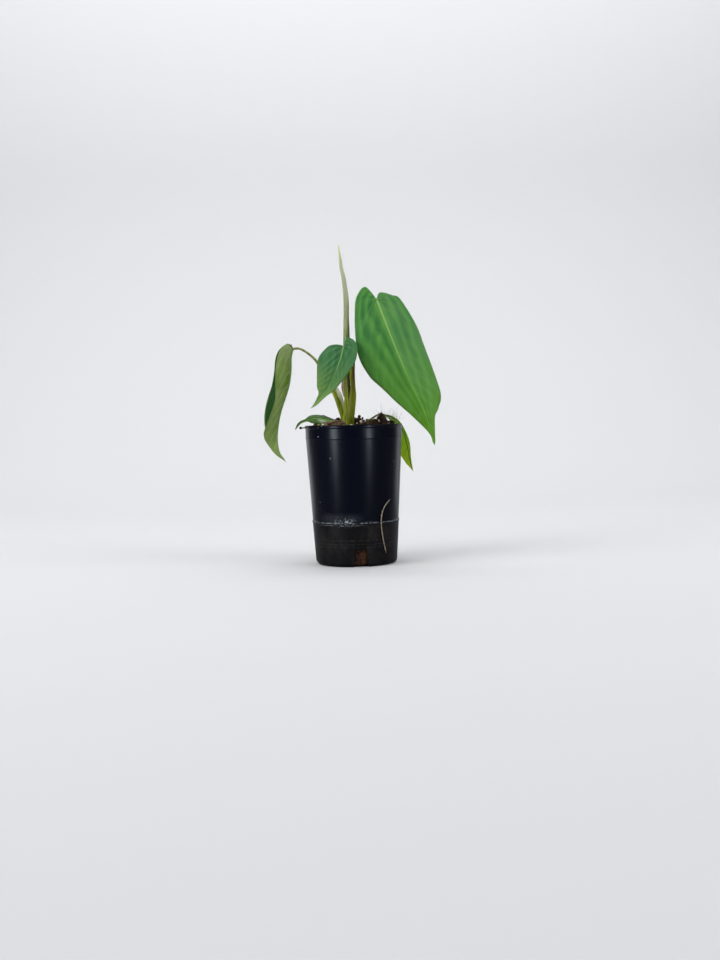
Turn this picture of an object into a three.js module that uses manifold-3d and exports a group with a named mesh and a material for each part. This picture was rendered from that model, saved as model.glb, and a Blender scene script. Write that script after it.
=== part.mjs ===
// A young philodendron in a black plastic nursery pot. Millimetres, +Z up, -Y towards the viewer,
// origin at the centre of the pot's flat underside.
import * as THREE from "three";
import { mergeVertices } from "three/addons/utils/BufferGeometryUtils.js";
import Module from "manifold-3d";

// Driving dimensions of the pot, all measured from its underside and its axis.
const POT = {
  height: 138.5,
  rimRadius: 48.4,
  beadRadius: 48.7,
  beadHeight: 3.2,
  collarBottom: 125,
  collarStep: 0.25,
  wallTopRadius: 47.9,
  wallBottomRadius: 43.15,
  ridgeHeight: 43,
  ridgeRadius: 43.7,
  ridgeWidth: 1.2,
  skirtTopRadius: 43.2,
  skirtBottomRadius: 40.9,
  cornerRadius: 4,
  wall: 1.1,
  floor: 1.6,
  chamfer: 0.6,
  lip: 0.2,
};
const NOTCH = {
  azimuths: [7, 97, 187, 277],
  bottomWidth: 15,
  topWidth: 11.2,
  height: 17,
  roundness: 2.5,
  innerRadius: 33,
  overrun: 1,
};
const NIB = {
  azimuth: 184,
  height: 136.4,
  reach: 54.6,
  stalk: 0.6,
  bead: 1.35,
  beadShare: 0.8,
  beadHalf: 0.2,
};

// Driving dimensions of what the pot holds.
const SOIL = {
  top: 135,
  rise: 1,
  shoulderHeight: 2,
  shoulderWidth: 3,
  gap: 0.42,
  slack: 0.3,
  petioleFoot: 125,
};
const CROWN = { centre: [-4.9, 3.2], bottom: 104, top: 123.5, radius: 5.2, footShare: 0.6, topShare: 0.7 };

// Bark, husk and perlite set by hand where they show: [x, y, z, size along x, y, z, turn in degrees].
const CHUNKS = [
  [30, 4, 141.5, 10.5, 10, 19, 15],
  [25.5, 0, 139, 9, 10, 12, 50],
  [5.6, -7.5, 140.5, 6.5, 6, 15, 20],
  [9.5, -9, 138, 6, 6, 11, 65],
  [21.8, -12, 140.5, 6.5, 6, 6.5, 10],
  [16.5, -16, 138.6, 5, 5, 5, 40],
  [-13.5, -12, 139.8, 10, 5, 5, -8],
  [-20.5, -14, 139, 8, 6, 6.5, 25],
  [-27, -17, 138.4, 8, 5, 6, 60],
  [-36.5, -10, 138.2, 6, 5, 6, 5],
  [36.5, -13, 138.4, 9, 7, 7, 35],
  [-16, 18, 140, 12, 9, 10, 70],
  [2, 26, 139.4, 13, 8, 10, 20],
  [-30, 14, 138.6, 9, 8, 8, 40],
  [17, 33, 138.8, 9, 8, 9, 80],
];
// Finer bits strewn by a fixed draw: their length, and their width and height as shares of it.
const LITTER = {
  count: 110,
  seed: 7,
  outer: 42.5,
  length: [3.4, 8],
  widthShare: [0.6, 1],
  heightShare: [0.8, 1.1],
  sunk: [-0.6, 0.4],
};
// How many flat sides stand for a round section, and how many steps for a bend.
const SIDES = { pot: 72, soil: 48, petiole: 8, rib: 6, spear: 10, root: 6, nib: 10, crown: 20, room: 24 };
const STEPS = { spear: 24, root: 14, nib: 10, room: 8 };

// Every leaf: its petiole from the clump to the leaf base, and its midrib from base to tip.
// "facing" turns the upper face at the base, the middle and the tip. "fold" is how far each half rises
// from the midrib in degrees, [left half, right half] as seen on the upper face with the tip down, given
// from base to tip; "bend" is how much further it turns by its margin. The outlines give the margin of
// each half from leaf base to tip in shares of half width and midrib length.
const LEAVES = {
  leaf_large: {
    colour: "large",
    petiole: [[-3.5, 1.2], [-3.1, 1.6, 141], [0, 3.5, 168], [-0.9, 4.7, 187], [0, 5.2, 201], [6.1, 4.4, 222],
      [15.2, -1, 243]],
    petioleRadius: [2, 1.4],
    midrib: [[25.9, -13, 261.3], [35.8, -21, 232.6], [46.4, -26, 203.8], [57.7, -29, 176.3],
      [69.6, -30, 149.2], [78.8, -28, 116.8]],
    facing: [[0.26, -0.9, 0.34], [0.22, -0.95, 0.21], [0, -1, 0.03]],
    width: 38,
    fold: [[-16, -16, -16], [-16, -16, -16]],
    bend: [-12, -12],
    wave: 0.7,
    veins: 12,
    across: 5,
    outlines: [
      [[0.15, -0.1], [0.38, -0.08], [0.6, 0], [0.95, 0.265], [0.91, 0.43], [0.72, 0.545], [0.325, 0.785],
        [0.05, 0.92], [0.02, 0.98]],
      [[0.2, -0.045], [0.59, -0.02], [0.82, 0.01], [1.03, 0.2], [0.99, 0.37], [0.735, 0.695], [0.44, 0.79],
        [0.23, 0.84], [0.05, 0.98]],
    ],
  },
  leaf_small: {
    colour: "small",
    petiole: [[-6.8, -7.4], [-6.7, -7.8, 141], [-6.4, -9.5, 166], [-6.9, -12.9, 191], [-7.3, -16.5, 209]],
    petioleRadius: [2.7, 1],
    midrib: [[-7.7, -18, 215.4], [-10.8, -24, 203.4], [-15.8, -29, 190.7], [-23, -32, 177.2],
      [-31.1, -33, 166.7], [-41.2, -32, 155.1]],
    facing: [[-0.34, -0.69, 0.64], [-0.38, -0.86, 0.34], [-0.24, -0.97, 0.09]],
    width: 21,
    fold: [[14, 14, 14], [18, 18, 18]],
    bend: [-4, -4],
    wave: 0.4,
    veins: 9,
    across: 4,
    outlines: [
      [[0.08, -0.016], [0.46, -0.02], [0.8, 0.03], [1.03, 0.19], [0.97, 0.395], [0.49, 0.685], [0.17, 0.77],
        [0.05, 0.88], [0.01, 0.965]],
      [[0.03, -0.128], [0.41, -0.1], [0.78, 0], [1.02, 0.18], [0.97, 0.305], [0.515, 0.615], [0.28, 0.735],
        [0.145, 0.905], [0.04, 0.975]],
    ],
  },
  leaf_left: {
    colour: "left",
    petiole: [[-9.8, 12.5], [-9.8, 12.5, 142], [-13.2, 11, 155], [-18.2, 10.2, 169.5], [-27, 11.5, 187.6],
      [-35.4, 14.5, 202.6], [-43.5, 17.5, 210.9], [-52.5, 19.2, 216.5]],
    petioleRadius: [2.9, 1.05],
    midrib: [[-60.2, 20, 217], [-62.5, 18.5, 207.4], [-62.8, 17, 195.2], [-65, 15.5, 180.1],
      [-69.1, 14, 167], [-73.9, 13, 153], [-76.8, 12, 139], [-78, 12, 125], [-75.9, 13, 111.5],
      [-69.2, 16, 101.4]],
    facing: [[-0.98, 0.17, 0.2], [-0.98, 0.19, 0.05], [-0.94, 0.34, 0]],
    width: 26,
    fold: [[54, 52, 59, 66, 49], [24, 32, 27, 14, 27, 82, 60]],
    bend: [2, -21],
    wave: 0,
    veins: 10,
    across: 4,
    outlines: [
      [[0.12, -0.03], [0.42, -0.04], [0.78, 0.02], [0.97, 0.16], [1, 0.33], [0.86, 0.54], [0.6, 0.72],
        [0.26, 0.86], [0.07, 0.94]],
      [[0.12, -0.01], [0.42, -0.01], [0.78, 0.045], [0.97, 0.16], [1, 0.33], [0.86, 0.54], [0.6, 0.72],
        [0.26, 0.86], [0.07, 0.94]],
    ],
  },
  leaf_low_left: {
    colour: "low",
    petiole: [[-13.9, -3.2], [-14.5, -3.2, 138.5]],
    petioleRadius: [1.1, 0.8],
    midrib: [[-20.8, -2, 142], [-30.5, -1, 144.8], [-39.5, 0, 145.8], [-47.1, 1, 144], [-53.6, 2, 141.4],
      [-58.9, 2, 134.5]],
    facing: [[0, -0.25, 0.97], [-0.1, -0.3, 0.95], [-0.68, -0.29, 0.68]],
    width: 10.5,
    fold: [[10, 14, 30], [-6, -6, -6]],
    bend: [-20, -30],
    wave: 0,
    veins: 6,
    across: 3,
    outlines: [
      [[0.15, -0.07], [0.55, -0.05], [0.9, 0.12], [1.05, 0.34], [0.8, 0.54], [0.26, 0.66], [0.2, 0.76],
        [0.18, 0.87]],
      [[0.15, -0.07], [0.55, -0.05], [0.95, 0.12], [1, 0.3], [0.75, 0.5], [0.3, 0.62], [0.26, 0.74],
        [0.2, 0.87]],
    ],
  },
  leaf_low_right: {
    colour: "low",
    petiole: [[0.7, 12.8], [1.7, 12.6, 137], [11.1, 14, 140.8], [16.5, 15.5, 143], [20.7, 17, 145.3],
      [25, 18.8, 147.6]],
    petioleRadius: [1.2, 0.9],
    midrib: [[31.3, 22, 148], [39.6, 26, 145.4], [46.8, 30, 139.3], [52.3, 33, 127.3], [55.6, 34, 113.8],
      [57.4, 33, 101.3], [60.2, 31, 88.5]],
    facing: [[0.3, 0.15, 0.94], [0.78, 0.5, 0.38], [0.84, 0.54, 0]],
    width: 12,
    fold: [[4, 0, -10, -16, -16], [4, 0, -10, -16, -16]],
    bend: [-5, -5],
    wave: 0,
    veins: 7,
    across: 3,
    outlines: [
      [[0.1, -0.03], [0.18, 0.08], [0.25, 0.27], [0.42, 0.43], [0.68, 0.57], [0.58, 0.7], [0.3, 0.84],
        [0.1, 0.95]],
      [[0.15, -0.05], [0.55, -0.05], [0.9, 0.08], [1, 0.28], [1.1, 0.48], [1.05, 0.68], [0.6, 0.84],
        [0.2, 0.94]],
    ],
  },
};
// Every petiole gets thinner towards its leaf, by this power of what is left of its length.
const PETIOLE_TAPER = 1.2;
// What every blade shares: the rows of its mesh lean forward and bow as the lateral veins do, and the rib
// under it starts at a share of the petiole's radius, sunk a little into the blade.
const BLADE = {
  thickness: 0.7,
  veinLean: 0.9,
  veinBow: 0.12,
  fanRows: 5,
  ribShare: 0.95,
  ribTip: 0.4,
  ribSink: 0.3,
  marginSamples: 400,
};

// The newest leaf, still rolled: its axis and the radius along it.
const SPEAR = {
  axis: [[-6.1, 6], [-6.1, 5.9, 141], [-4, 6.3, 166], [-4.8, 7.6, 185], [-5.1, 8.2, 203], [-4.9, 8.5, 223.5],
    [-4.7, 9, 243.5], [-4.4, 9, 263.4], [-6.1, 9, 283.4], [-8.3, 9, 295.3], [-9.3, 9, 305.3], [-10.3, 9, 315],
    [-10.8, 9, 318.5]],
  radius: [2.1, 2.1, 2.1, 2.5, 3.2, 3.6, 3.4, 2.9, 2.8, 2.3, 1.6, 0.4],
};
// The sheath that wraps the clump: centre, half widths and where its slit lies, from foot to tip.
const SHEATH = {
  heights: [125.5, 141, 155, 167, 178, 191, 202],
  centreX: [-5, -4.9, -3.45, -2.55, -1.8, -0.9, 0.2],
  centreY: [3.2, 3.4, 3.9, 4.3, 4.6, 4.9, 5.1],
  halfX: [5.4, 5.6, 5.65, 5.95, 4.6, 3.5, 2.9],
  halfY: [7.5, 7.5, 7.6, 7.4, 6.4, 4.7, 3.9],
  slitFrom: [236, 234, 222, 155, 96, 80, 40],
  slitTo: [240, 242, 252, 262, 272, 285, 330],
  thickness: 0.7,
};
// A dried root lying down the outside of the pot: [azimuth in degrees, height].
const DRIED_ROOT = {
  route: [[-42.4, 64.8], [-50.8, 58.8], [-55.4, 51.2], [-56, 39.5], [-52.6, 25.5], [-47.5, 12.6]],
  radius: 0.62,
  gap: 0.85,
};

const MATERIAL = {
  pot: { color: 0x0c1020, roughness: 0.35, metalness: 0 },
  soil: { color: 0x3a2418, roughness: 0.95, metalness: 0 },
  large: { color: 0x2f7a2c, roughness: 0.45, metalness: 0 },
  small: { color: 0x2f7446, roughness: 0.45, metalness: 0 },
  left: { color: 0x6d8f45, roughness: 0.5, metalness: 0 },
  low: { color: 0x4d7d1c, roughness: 0.45, metalness: 0 },
  spear: { color: 0xa9b78a, roughness: 0.5, metalness: 0 },
  sheath: { color: 0x6b6a2c, roughness: 0.55, metalness: 0 },
  root: { color: 0x8a7a5c, roughness: 0.9, metalness: 0 },
};

const wasm = await Module();
wasm.setup();

const radians = THREE.MathUtils.degToRad;
const vector = (point) => new THREE.Vector3(...point);

// A closed geometry as a solid for joining and cutting, and back.
function solidOf(geometry) {
  const bare = geometry.clone();
  bare.deleteAttribute("normal");
  bare.deleteAttribute("uv");
  const merged = mergeVertices(bare, 1e-4);
  return new wasm.Manifold(
    new wasm.Mesh({
      numProp: 3,
      vertProperties: merged.attributes.position.array,
      triVerts: new Uint32Array(merged.index.array),
    }),
  );
}

function geometryOf(solid) {
  const mesh = solid.getMesh();
  const geometry = new THREE.BufferGeometry();
  geometry.setAttribute("position", new THREE.BufferAttribute(mesh.vertProperties, 3));
  geometry.setIndex(new THREE.BufferAttribute(mesh.triVerts, 1));
  geometry.computeVertexNormals();
  return geometry;
}

const joined = (solids) => solids.reduce((whole, piece) => whole.add(piece));

function closedGeometry(points, triangles) {
  const geometry = new THREE.BufferGeometry();
  geometry.setAttribute("position", new THREE.Float32BufferAttribute(points.flatMap((p) => p.toArray()), 3));
  geometry.setIndex(triangles.flat());
  return geometry;
}

// A value that runs smoothly through evenly spaced stations, at share t of the way.
function along(values, t) {
  const curve = new THREE.SplineCurve(values.map((value, i) => new THREE.Vector2(i, value)));
  return curve.getPoint(THREE.MathUtils.clamp(t, 0, 1)).y;
}

// A fixed sequence of draws between 0 and 1.
function draws(seed) {
  let state = seed;
  return () => {
    state = (state * 1664525 + 1013904223) % 4294967296;
    return state / 4294967296;
  };
}

// A round limb along a curve, its radius given by share of length, closed with a fan at both ends.
function limb(curve, radiusAt, steps, sides) {
  const frames = curve.computeFrenetFrames(steps, false);
  const points = [];
  const triangles = [];
  for (let i = 0; i <= steps; i++) {
    const t = i / steps;
    const centre = curve.getPointAt(t);
    for (let j = 0; j < sides; j++) {
      const angle = (2 * Math.PI * j) / sides;
      const out = frames.normals[i].clone().multiplyScalar(Math.cos(angle));
      out.addScaledVector(frames.binormals[i], Math.sin(angle));
      points.push(centre.clone().addScaledVector(out, radiusAt(t)));
    }
  }
  for (let i = 0; i < steps; i++) {
    for (let j = 0; j < sides; j++) {
      const here = i * sides + j;
      const next = i * sides + ((j + 1) % sides);
      triangles.push([here, next, next + sides], [here, next + sides, here + sides]);
    }
  }
  const foot = points.length;
  points.push(curve.getPointAt(0), curve.getPointAt(1));
  for (let j = 0; j < sides; j++) {
    const next = (j + 1) % sides;
    triangles.push([foot, next, j]);
    triangles.push([foot + 1, steps * sides + j, steps * sides + next]);
  }
  return closedGeometry(points, triangles);
}

const spline = (points) => new THREE.CatmullRomCurve3(points.map(vector), false, "catmullrom");

// The directed edges of a sheet of triangles that only one triangle uses.
function openEdges(triangles) {
  const edges = triangles.flatMap(([a, b, c]) => [[a, b], [b, c], [c, a]]);
  const known = new Set(edges.map(([a, b]) => a + "," + b));
  return edges.filter(([a, b]) => !known.has(b + "," + a));
}

// A thin skin: the same triangles on both faces, and a strip round the open edge to close it.
function skin(spots, triangles, thickness) {
  const n = spots.length;
  const face = (offset) => spots.map(({ point, normal }) => point.clone().addScaledVector(normal, offset));
  const points = face(thickness / 2).concat(face(-thickness / 2));
  const back = triangles.map(([a, b, c]) => [a + n, c + n, b + n]);
  const strip = openEdges(triangles).flatMap(([a, b]) => [[b, a, a + n], [b, a + n, b + n]]);
  return closedGeometry(points, triangles.concat(back, strip));
}

// A leaf's form lays a flat point (u from the midrib, v along it) in space: out from the midrib along an
// arc that starts at the fold and turns by the bend, with a gentle wave that grows towards the margin.
function leafForm(leaf) {
  const spine = spline(leaf.midrib);
  const length = spine.getLength();
  const facing = spline(leaf.facing);

  function ridge(v) {
    const t = THREE.MathUtils.clamp(v / length, 0, 1);
    const tangent = spine.getTangentAt(t);
    const normal = facing.getPoint(t);
    normal.addScaledVector(tangent, -normal.dot(tangent)).normalize();
    const point = spine.getPointAt(t).addScaledVector(tangent, Math.min(v, 0));
    return { point, normal, tangent, t };
  }

  function place(side, u, v) {
    const half = side < 0 ? 0 : 1;
    const { point, normal, tangent, t } = ridge(v);
    const across = normal.clone().cross(tangent).multiplyScalar(side);
    const fold = radians(along(leaf.fold[half], t));
    const turn = radians(leaf.bend[half]) / leaf.width;
    const end = fold + turn * u;
    const outwards = (Math.sin(end) - Math.sin(fold)) / turn;
    const waving = leaf.wave * Math.sin(4 * Math.PI * t + side) * (u / leaf.width) ** 2;
    const upwards = (Math.cos(fold) - Math.cos(end)) / turn + waving;
    point.addScaledVector(across, outwards).addScaledVector(normal, upwards);
    normal.multiplyScalar(Math.cos(end)).addScaledVector(across, -Math.sin(end));
    return { point, normal };
  }
  return { length, ridge, place };
}

// The margin points where the rows of one half end. The first rows fan out from the leaf base round the
// lobe; each later row starts at its own foot on the midrib and leans forward as a lateral vein does.
function marginRows(leaf, half, length) {
  const shares = [[0, 0], ...leaf.outlines[half], [0, 1]];
  const scaled = shares.map(([u, v]) => new THREE.Vector2(u * leaf.width, v * length));
  const outline = new THREE.SplineCurve(scaled);
  const samples = BLADE.marginSamples;
  const footOf = (point) => point.y - BLADE.veinLean * point.x;
  const leaving = (foot) => {
    let i = samples - 1;
    while (footOf(outline.getPoint(i / samples)) > foot) i--;
    return (i + 0.5) / samples;
  };
  const fanEnd = leaving(0);
  const rows = [];
  for (let i = 1; i <= BLADE.fanRows; i++) rows.push({ foot: 0, margin: (fanEnd * i) / BLADE.fanRows });
  for (let j = 1; j < leaf.veins; j++) rows.push({ foot: j, margin: leaving((length * j) / leaf.veins) });
  return rows.map(({ foot, margin }) => ({ foot, edge: outline.getPoint(margin) }));
}

function bladeGeometry(leaf) {
  const { length, ridge, place } = leafForm(leaf);
  const spots = [];
  const add = (spot) => spots.push(spot) - 1;
  const feet = [];
  for (let j = 0; j <= leaf.veins; j++) feet.push(add(ridge((length * j) / leaf.veins)));
  const tip = feet[leaf.veins];
  const triangles = [];
  for (const side of [-1, 1]) {
    const turned = ([a, b, c]) => (side > 0 ? [a, b, c] : [a, c, b]);
    const rows = marginRows(leaf, side < 0 ? 0 : 1, length).map(({ foot, edge }) => {
      const start = (length * foot) / leaf.veins;
      const reach = Math.hypot(edge.x, edge.y - start);
      const bow = 4 * BLADE.veinBow * reach * Math.sin((Math.PI * foot) / leaf.veins);
      const row = [feet[foot]];
      for (let k = 1; k <= leaf.across; k++) {
        const b = k / leaf.across;
        row.push(add(place(side, edge.x * b, start + (edge.y - start) * b - bow * b * (1 - b))));
      }
      return row;
    });
    rows.slice(1).forEach((below, i) => {
      const above = rows[i];
      for (let k = 0; k < leaf.across; k++) {
        if (above[k] !== below[k]) triangles.push(turned([above[k], below[k], below[k + 1]]));
        triangles.push(turned([above[k], below[k + 1], above[k + 1]]));
      }
    });
    const last = rows[rows.length - 1];
    for (let k = 0; k < leaf.across; k++) triangles.push(turned([last[k], tip, last[k + 1]]));
  }
  return skin(spots, triangles, BLADE.thickness);
}

// The midrib stands out under the blade and fades towards the tip.
function ribGeometry(leaf) {
  const { length, ridge } = leafForm(leaf);
  const radiusAt = (t) => THREE.MathUtils.lerp(leaf.petioleRadius[1] * BLADE.ribShare, BLADE.ribTip, t);
  const stations = Array.from({ length: leaf.veins }, (_, j) => j / leaf.veins);
  const axis = stations.map((t) => {
    const { point, normal } = ridge(t * length);
    return point.addScaledVector(normal, BLADE.ribSink - radiusAt(t));
  });
  return limb(new THREE.CatmullRomCurve3(axis), radiusAt, leaf.veins * 2, SIDES.rib);
}

// The petiole's route from its foot in the soil to the underside of the leaf base.
function petioleCurve(leaf, footHeight) {
  const { ridge } = leafForm(leaf);
  const [[x, y], ...rest] = leaf.petiole;
  const { point, normal } = ridge(0);
  const end = point.addScaledVector(normal, BLADE.ribSink - leaf.petioleRadius[1]);
  return new THREE.CatmullRomCurve3([vector([x, y, footHeight]), ...rest.map(vector), end]);
}

function petioleGeometry(leaf, extra) {
  const curve = petioleCurve(leaf, SOIL.petioleFoot - extra);
  const [thick, thin] = leaf.petioleRadius;
  const radiusAt = (t) => THREE.MathUtils.lerp(thin, thick, (1 - t) ** PETIOLE_TAPER) + extra;
  return limb(curve, radiusAt, 4 + 3 * leaf.petiole.length, SIDES.petiole);
}

const leafSolid = (leaf) =>
  joined([bladeGeometry(leaf), ribGeometry(leaf), petioleGeometry(leaf, 0)].map(solidOf));

// The outer oval of the sheath at station k, grown by extra.
function sheathPoint(k, angle, extra) {
  const x = along(SHEATH.centreX, k) + (along(SHEATH.halfX, k) + extra) * Math.cos(angle);
  const y = along(SHEATH.centreY, k) + (along(SHEATH.halfY, k) + extra) * Math.sin(angle);
  return new THREE.Vector3(x, y, along(SHEATH.heights, k));
}

// The sheath is a thin skin that goes round the clump from one side of its slit to the other.
function sheathGeometry() {
  const around = 18;
  const up = 12;
  const spots = [];
  for (let i = 0; i <= up; i++) {
    const k = i / up;
    const from = radians(along(SHEATH.slitTo, k));
    const to = radians(along(SHEATH.slitFrom, k)) + 2 * Math.PI;
    for (let j = 0; j <= around; j++) {
      const angle = THREE.MathUtils.lerp(from, to, j / around);
      const point = sheathPoint(k, angle, -SHEATH.thickness / 2);
      const normal = new THREE.Vector3(Math.cos(angle), Math.sin(angle), 0);
      spots.push({ point, normal });
    }
  }
  const triangles = [];
  for (let i = 0; i < up; i++) {
    for (let j = 0; j < around; j++) {
      const a = i * (around + 1) + j;
      const b = a + around + 1;
      triangles.push([a, a + 1, b + 1], [a, b + 1, b]);
    }
  }
  return skin(spots, triangles, SHEATH.thickness);
}

// The room that the clump takes up in the soil: the lower half of the sheath's outside as one closed lump,
// that reaches down round the crown.
function clumpRoom() {
  const sides = SIDES.room;
  const steps = STEPS.room;
  const points = [];
  const triangles = [];
  for (let i = 0; i <= steps; i++) {
    for (let j = 0; j < sides; j++) {
      const point = sheathPoint(i / steps / 2, (2 * Math.PI * j) / sides, SOIL.gap);
      if (i === 0) point.z = CROWN.bottom - SOIL.gap;
      points.push(point);
    }
  }
  for (let i = 0; i < steps; i++) {
    for (let j = 0; j < sides; j++) {
      const a = i * sides + j;
      const b = i * sides + ((j + 1) % sides);
      triangles.push([a, b, b + sides], [a, b + sides, a + sides]);
    }
  }
  const ends = points.length;
  const middleOf = (first) => points[first].clone().lerp(points[first + sides / 2], 0.5);
  points.push(middleOf(0), middleOf(steps * sides));
  for (let j = 0; j < sides; j++) {
    const next = (j + 1) % sides;
    triangles.push([ends, next, j], [ends + 1, steps * sides + j, steps * sides + next]);
  }
  return closedGeometry(points, triangles);
}

function turnedProfile(profile, sides) {
  const geometry = new THREE.LatheGeometry(profile.map(([r, z]) => new THREE.Vector2(r, z)), sides);
  return geometry.rotateX(Math.PI / 2);
}

const wallRadius = (z) => {
  const share = (z - POT.ridgeHeight) / (POT.collarBottom - POT.ridgeHeight);
  if (share >= 0) return THREE.MathUtils.lerp(POT.wallBottomRadius, POT.wallTopRadius, share);
  return THREE.MathUtils.lerp(POT.skirtBottomRadius, POT.skirtTopRadius, z / POT.ridgeHeight);
};

// One drainage notch: a wedge with a rounded top, cut through the foot of the wall and the floor's edge.
function notchGeometry(azimuth) {
  const { bottomWidth, topWidth, height, roundness, innerRadius, overrun } = NOTCH;
  const shape = new THREE.Shape();
  shape.moveTo(-bottomWidth / 2, -overrun);
  shape.lineTo(bottomWidth / 2, -overrun);
  shape.lineTo(topWidth / 2, height - roundness);
  shape.quadraticCurveTo(topWidth / 2, height, topWidth / 2 - roundness, height);
  shape.lineTo(roundness - topWidth / 2, height);
  shape.quadraticCurveTo(-topWidth / 2, height, -topWidth / 2, height - roundness);
  const depth = POT.rimRadius - innerRadius;
  const geometry = new THREE.ExtrudeGeometry(shape, { depth, bevelEnabled: false, curveSegments: 4 });
  geometry.rotateX(Math.PI / 2).translate(0, -innerRadius, 0);
  return geometry.rotateZ(radians(azimuth));
}

// The nib left by the mould: a thin stalk out of the wall with a bead near its end.
function nibGeometry() {
  const start = new THREE.Vector3(wallRadius(NIB.height) - POT.wall / 2, 0, NIB.height);
  const end = new THREE.Vector3(NIB.reach, 0, NIB.height);
  const radiusAt = (t) => {
    const fromBead = Math.min(Math.abs(t - NIB.beadShare) / NIB.beadHalf, 1);
    return THREE.MathUtils.lerp(NIB.bead, NIB.stalk, fromBead);
  };
  const nib = limb(new THREE.LineCurve3(start, end), radiusAt, STEPS.nib, SIDES.nib);
  return nib.rotateZ(radians(NIB.azimuth));
}

function potSolid() {
  const { height, rimRadius, beadRadius, wall, floor, cornerRadius, skirtBottomRadius, chamfer, lip } = POT;
  const beadBottom = height - POT.beadHeight;
  const ridgeBottom = POT.ridgeHeight - POT.ridgeWidth / 2;
  const ridgeTop = POT.ridgeHeight + POT.ridgeWidth / 2;
  const corner = [0, 30, 60, 90].map((degrees) => [
    skirtBottomRadius - cornerRadius * (1 - Math.sin(radians(degrees))),
    cornerRadius * (1 - Math.cos(radians(degrees))),
  ]);
  const outside = [
    [0, 0],
    ...corner,
    [POT.skirtTopRadius, ridgeBottom - chamfer],
    [POT.ridgeRadius, ridgeBottom],
    [POT.ridgeRadius, ridgeTop],
    [POT.wallBottomRadius, ridgeTop + chamfer],
    [POT.wallTopRadius, POT.collarBottom - chamfer],
    [POT.wallTopRadius + POT.collarStep, POT.collarBottom],
    [rimRadius - lip, beadBottom],
    [beadRadius, beadBottom + chamfer],
    [beadRadius, height - chamfer],
    [rimRadius - lip / 2, height],
  ];
  const inside = [
    [rimRadius - wall - lip, height],
    [POT.wallTopRadius - wall, POT.collarBottom],
    [POT.wallBottomRadius - wall, POT.ridgeHeight],
    [skirtBottomRadius - wall - lip, cornerRadius],
    [skirtBottomRadius - cornerRadius, floor],
    [0, floor],
  ];
  const shell = solidOf(turnedProfile(outside.concat(inside), SIDES.pot)).add(solidOf(nibGeometry()));
  const notches = NOTCH.azimuths.map((azimuth) => solidOf(notchGeometry(azimuth)));
  return notches.reduce((pot, notch) => pot.subtract(notch), shell);
}

// One lump of bark, husk or perlite: a rough many-sided pebble stretched to its size.
function lumpGeometry([x, y, z, sizeX, sizeY, sizeZ, turn]) {
  const geometry = new THREE.IcosahedronGeometry(0.5, 0);
  geometry.scale(sizeX, sizeY, sizeZ);
  return geometry.rotateX(radians(turn / 6)).rotateZ(radians(turn)).translate(x, y, z);
}

function litter() {
  const draw = draws(LITTER.seed);
  const between = ([low, high]) => low + (high - low) * draw();
  return Array.from({ length: LITTER.count }, () => {
    const reach = LITTER.outer * Math.sqrt(draw());
    const angle = 2 * Math.PI * draw();
    const size = between(LITTER.length);
    const across = size * between(LITTER.widthShare);
    const place = [reach * Math.cos(angle), reach * Math.sin(angle), SOIL.top + between(LITTER.sunk)];
    return [...place, size, across, size * between(LITTER.heightShare), between([0, 180])];
  });
}

// The soil fills the pot up to just under the rim, with lumps sunk into its top and a plain hole for the
// clump and for each petiole.
function soilSolid() {
  const clear = POT.wall + SOIL.gap + SOIL.slack;
  const profile = [
    [0, POT.floor + SOIL.gap],
    [POT.skirtBottomRadius - POT.cornerRadius - SOIL.gap, POT.floor + SOIL.gap],
    [POT.skirtBottomRadius - clear, POT.cornerRadius + SOIL.gap],
    [POT.wallBottomRadius - clear, POT.ridgeHeight],
    [POT.wallTopRadius - clear, POT.collarBottom],
    [POT.wallTopRadius - clear, SOIL.top - SOIL.shoulderHeight],
    [POT.wallTopRadius - clear - SOIL.shoulderWidth, SOIL.top],
    [0, SOIL.top + SOIL.rise],
  ];
  const body = solidOf(turnedProfile(profile, SIDES.soil));
  const lumps = CHUNKS.concat(litter()).map((lump) => solidOf(lumpGeometry(lump)));
  const rooms = Object.values(LEAVES).map((leaf) => solidOf(petioleGeometry(leaf, SOIL.gap)));
  rooms.push(solidOf(clumpRoom()));
  const cut = rooms.reduce((soil, room) => soil.subtract(room), joined([body, ...lumps]));
  const pieces = cut.decompose();
  return pieces.reduce((largest, piece) => (piece.volume() > largest.volume() ? piece : largest));
}

// The crown is the short buried stem that the petioles grow from.
function crownGeometry() {
  const { bottom, top, radius, footShare, topShare } = CROWN;
  const profile = [
    [0, bottom],
    [radius * footShare, bottom],
    [radius, bottom + radius * footShare],
    [radius, top - radius * (1 - footShare)],
    [radius * topShare, top],
    [0, top],
  ];
  return turnedProfile(profile, SIDES.crown).translate(...CROWN.centre, 0);
}

function spearGeometry() {
  const [[x, y], ...rest] = SPEAR.axis;
  const axis = spline([[x, y, SOIL.petioleFoot], ...rest]);
  return limb(axis, (t) => along(SPEAR.radius, t), STEPS.spear, SIDES.spear);
}

function driedRootGeometry() {
  const route = DRIED_ROOT.route.map(([azimuth, z]) => {
    const reach = wallRadius(z) + DRIED_ROOT.radius + DRIED_ROOT.gap;
    return [reach * Math.cos(radians(azimuth)), reach * Math.sin(radians(azimuth)), z];
  });
  return limb(spline(route), () => DRIED_ROOT.radius, STEPS.root, SIDES.root);
}

const part = new THREE.Group();

function addNode(name, geometry, material) {
  const mesh = new THREE.Mesh(geometry, new THREE.MeshStandardMaterial(material));
  mesh.name = name;
  part.add(mesh);
}

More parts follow.
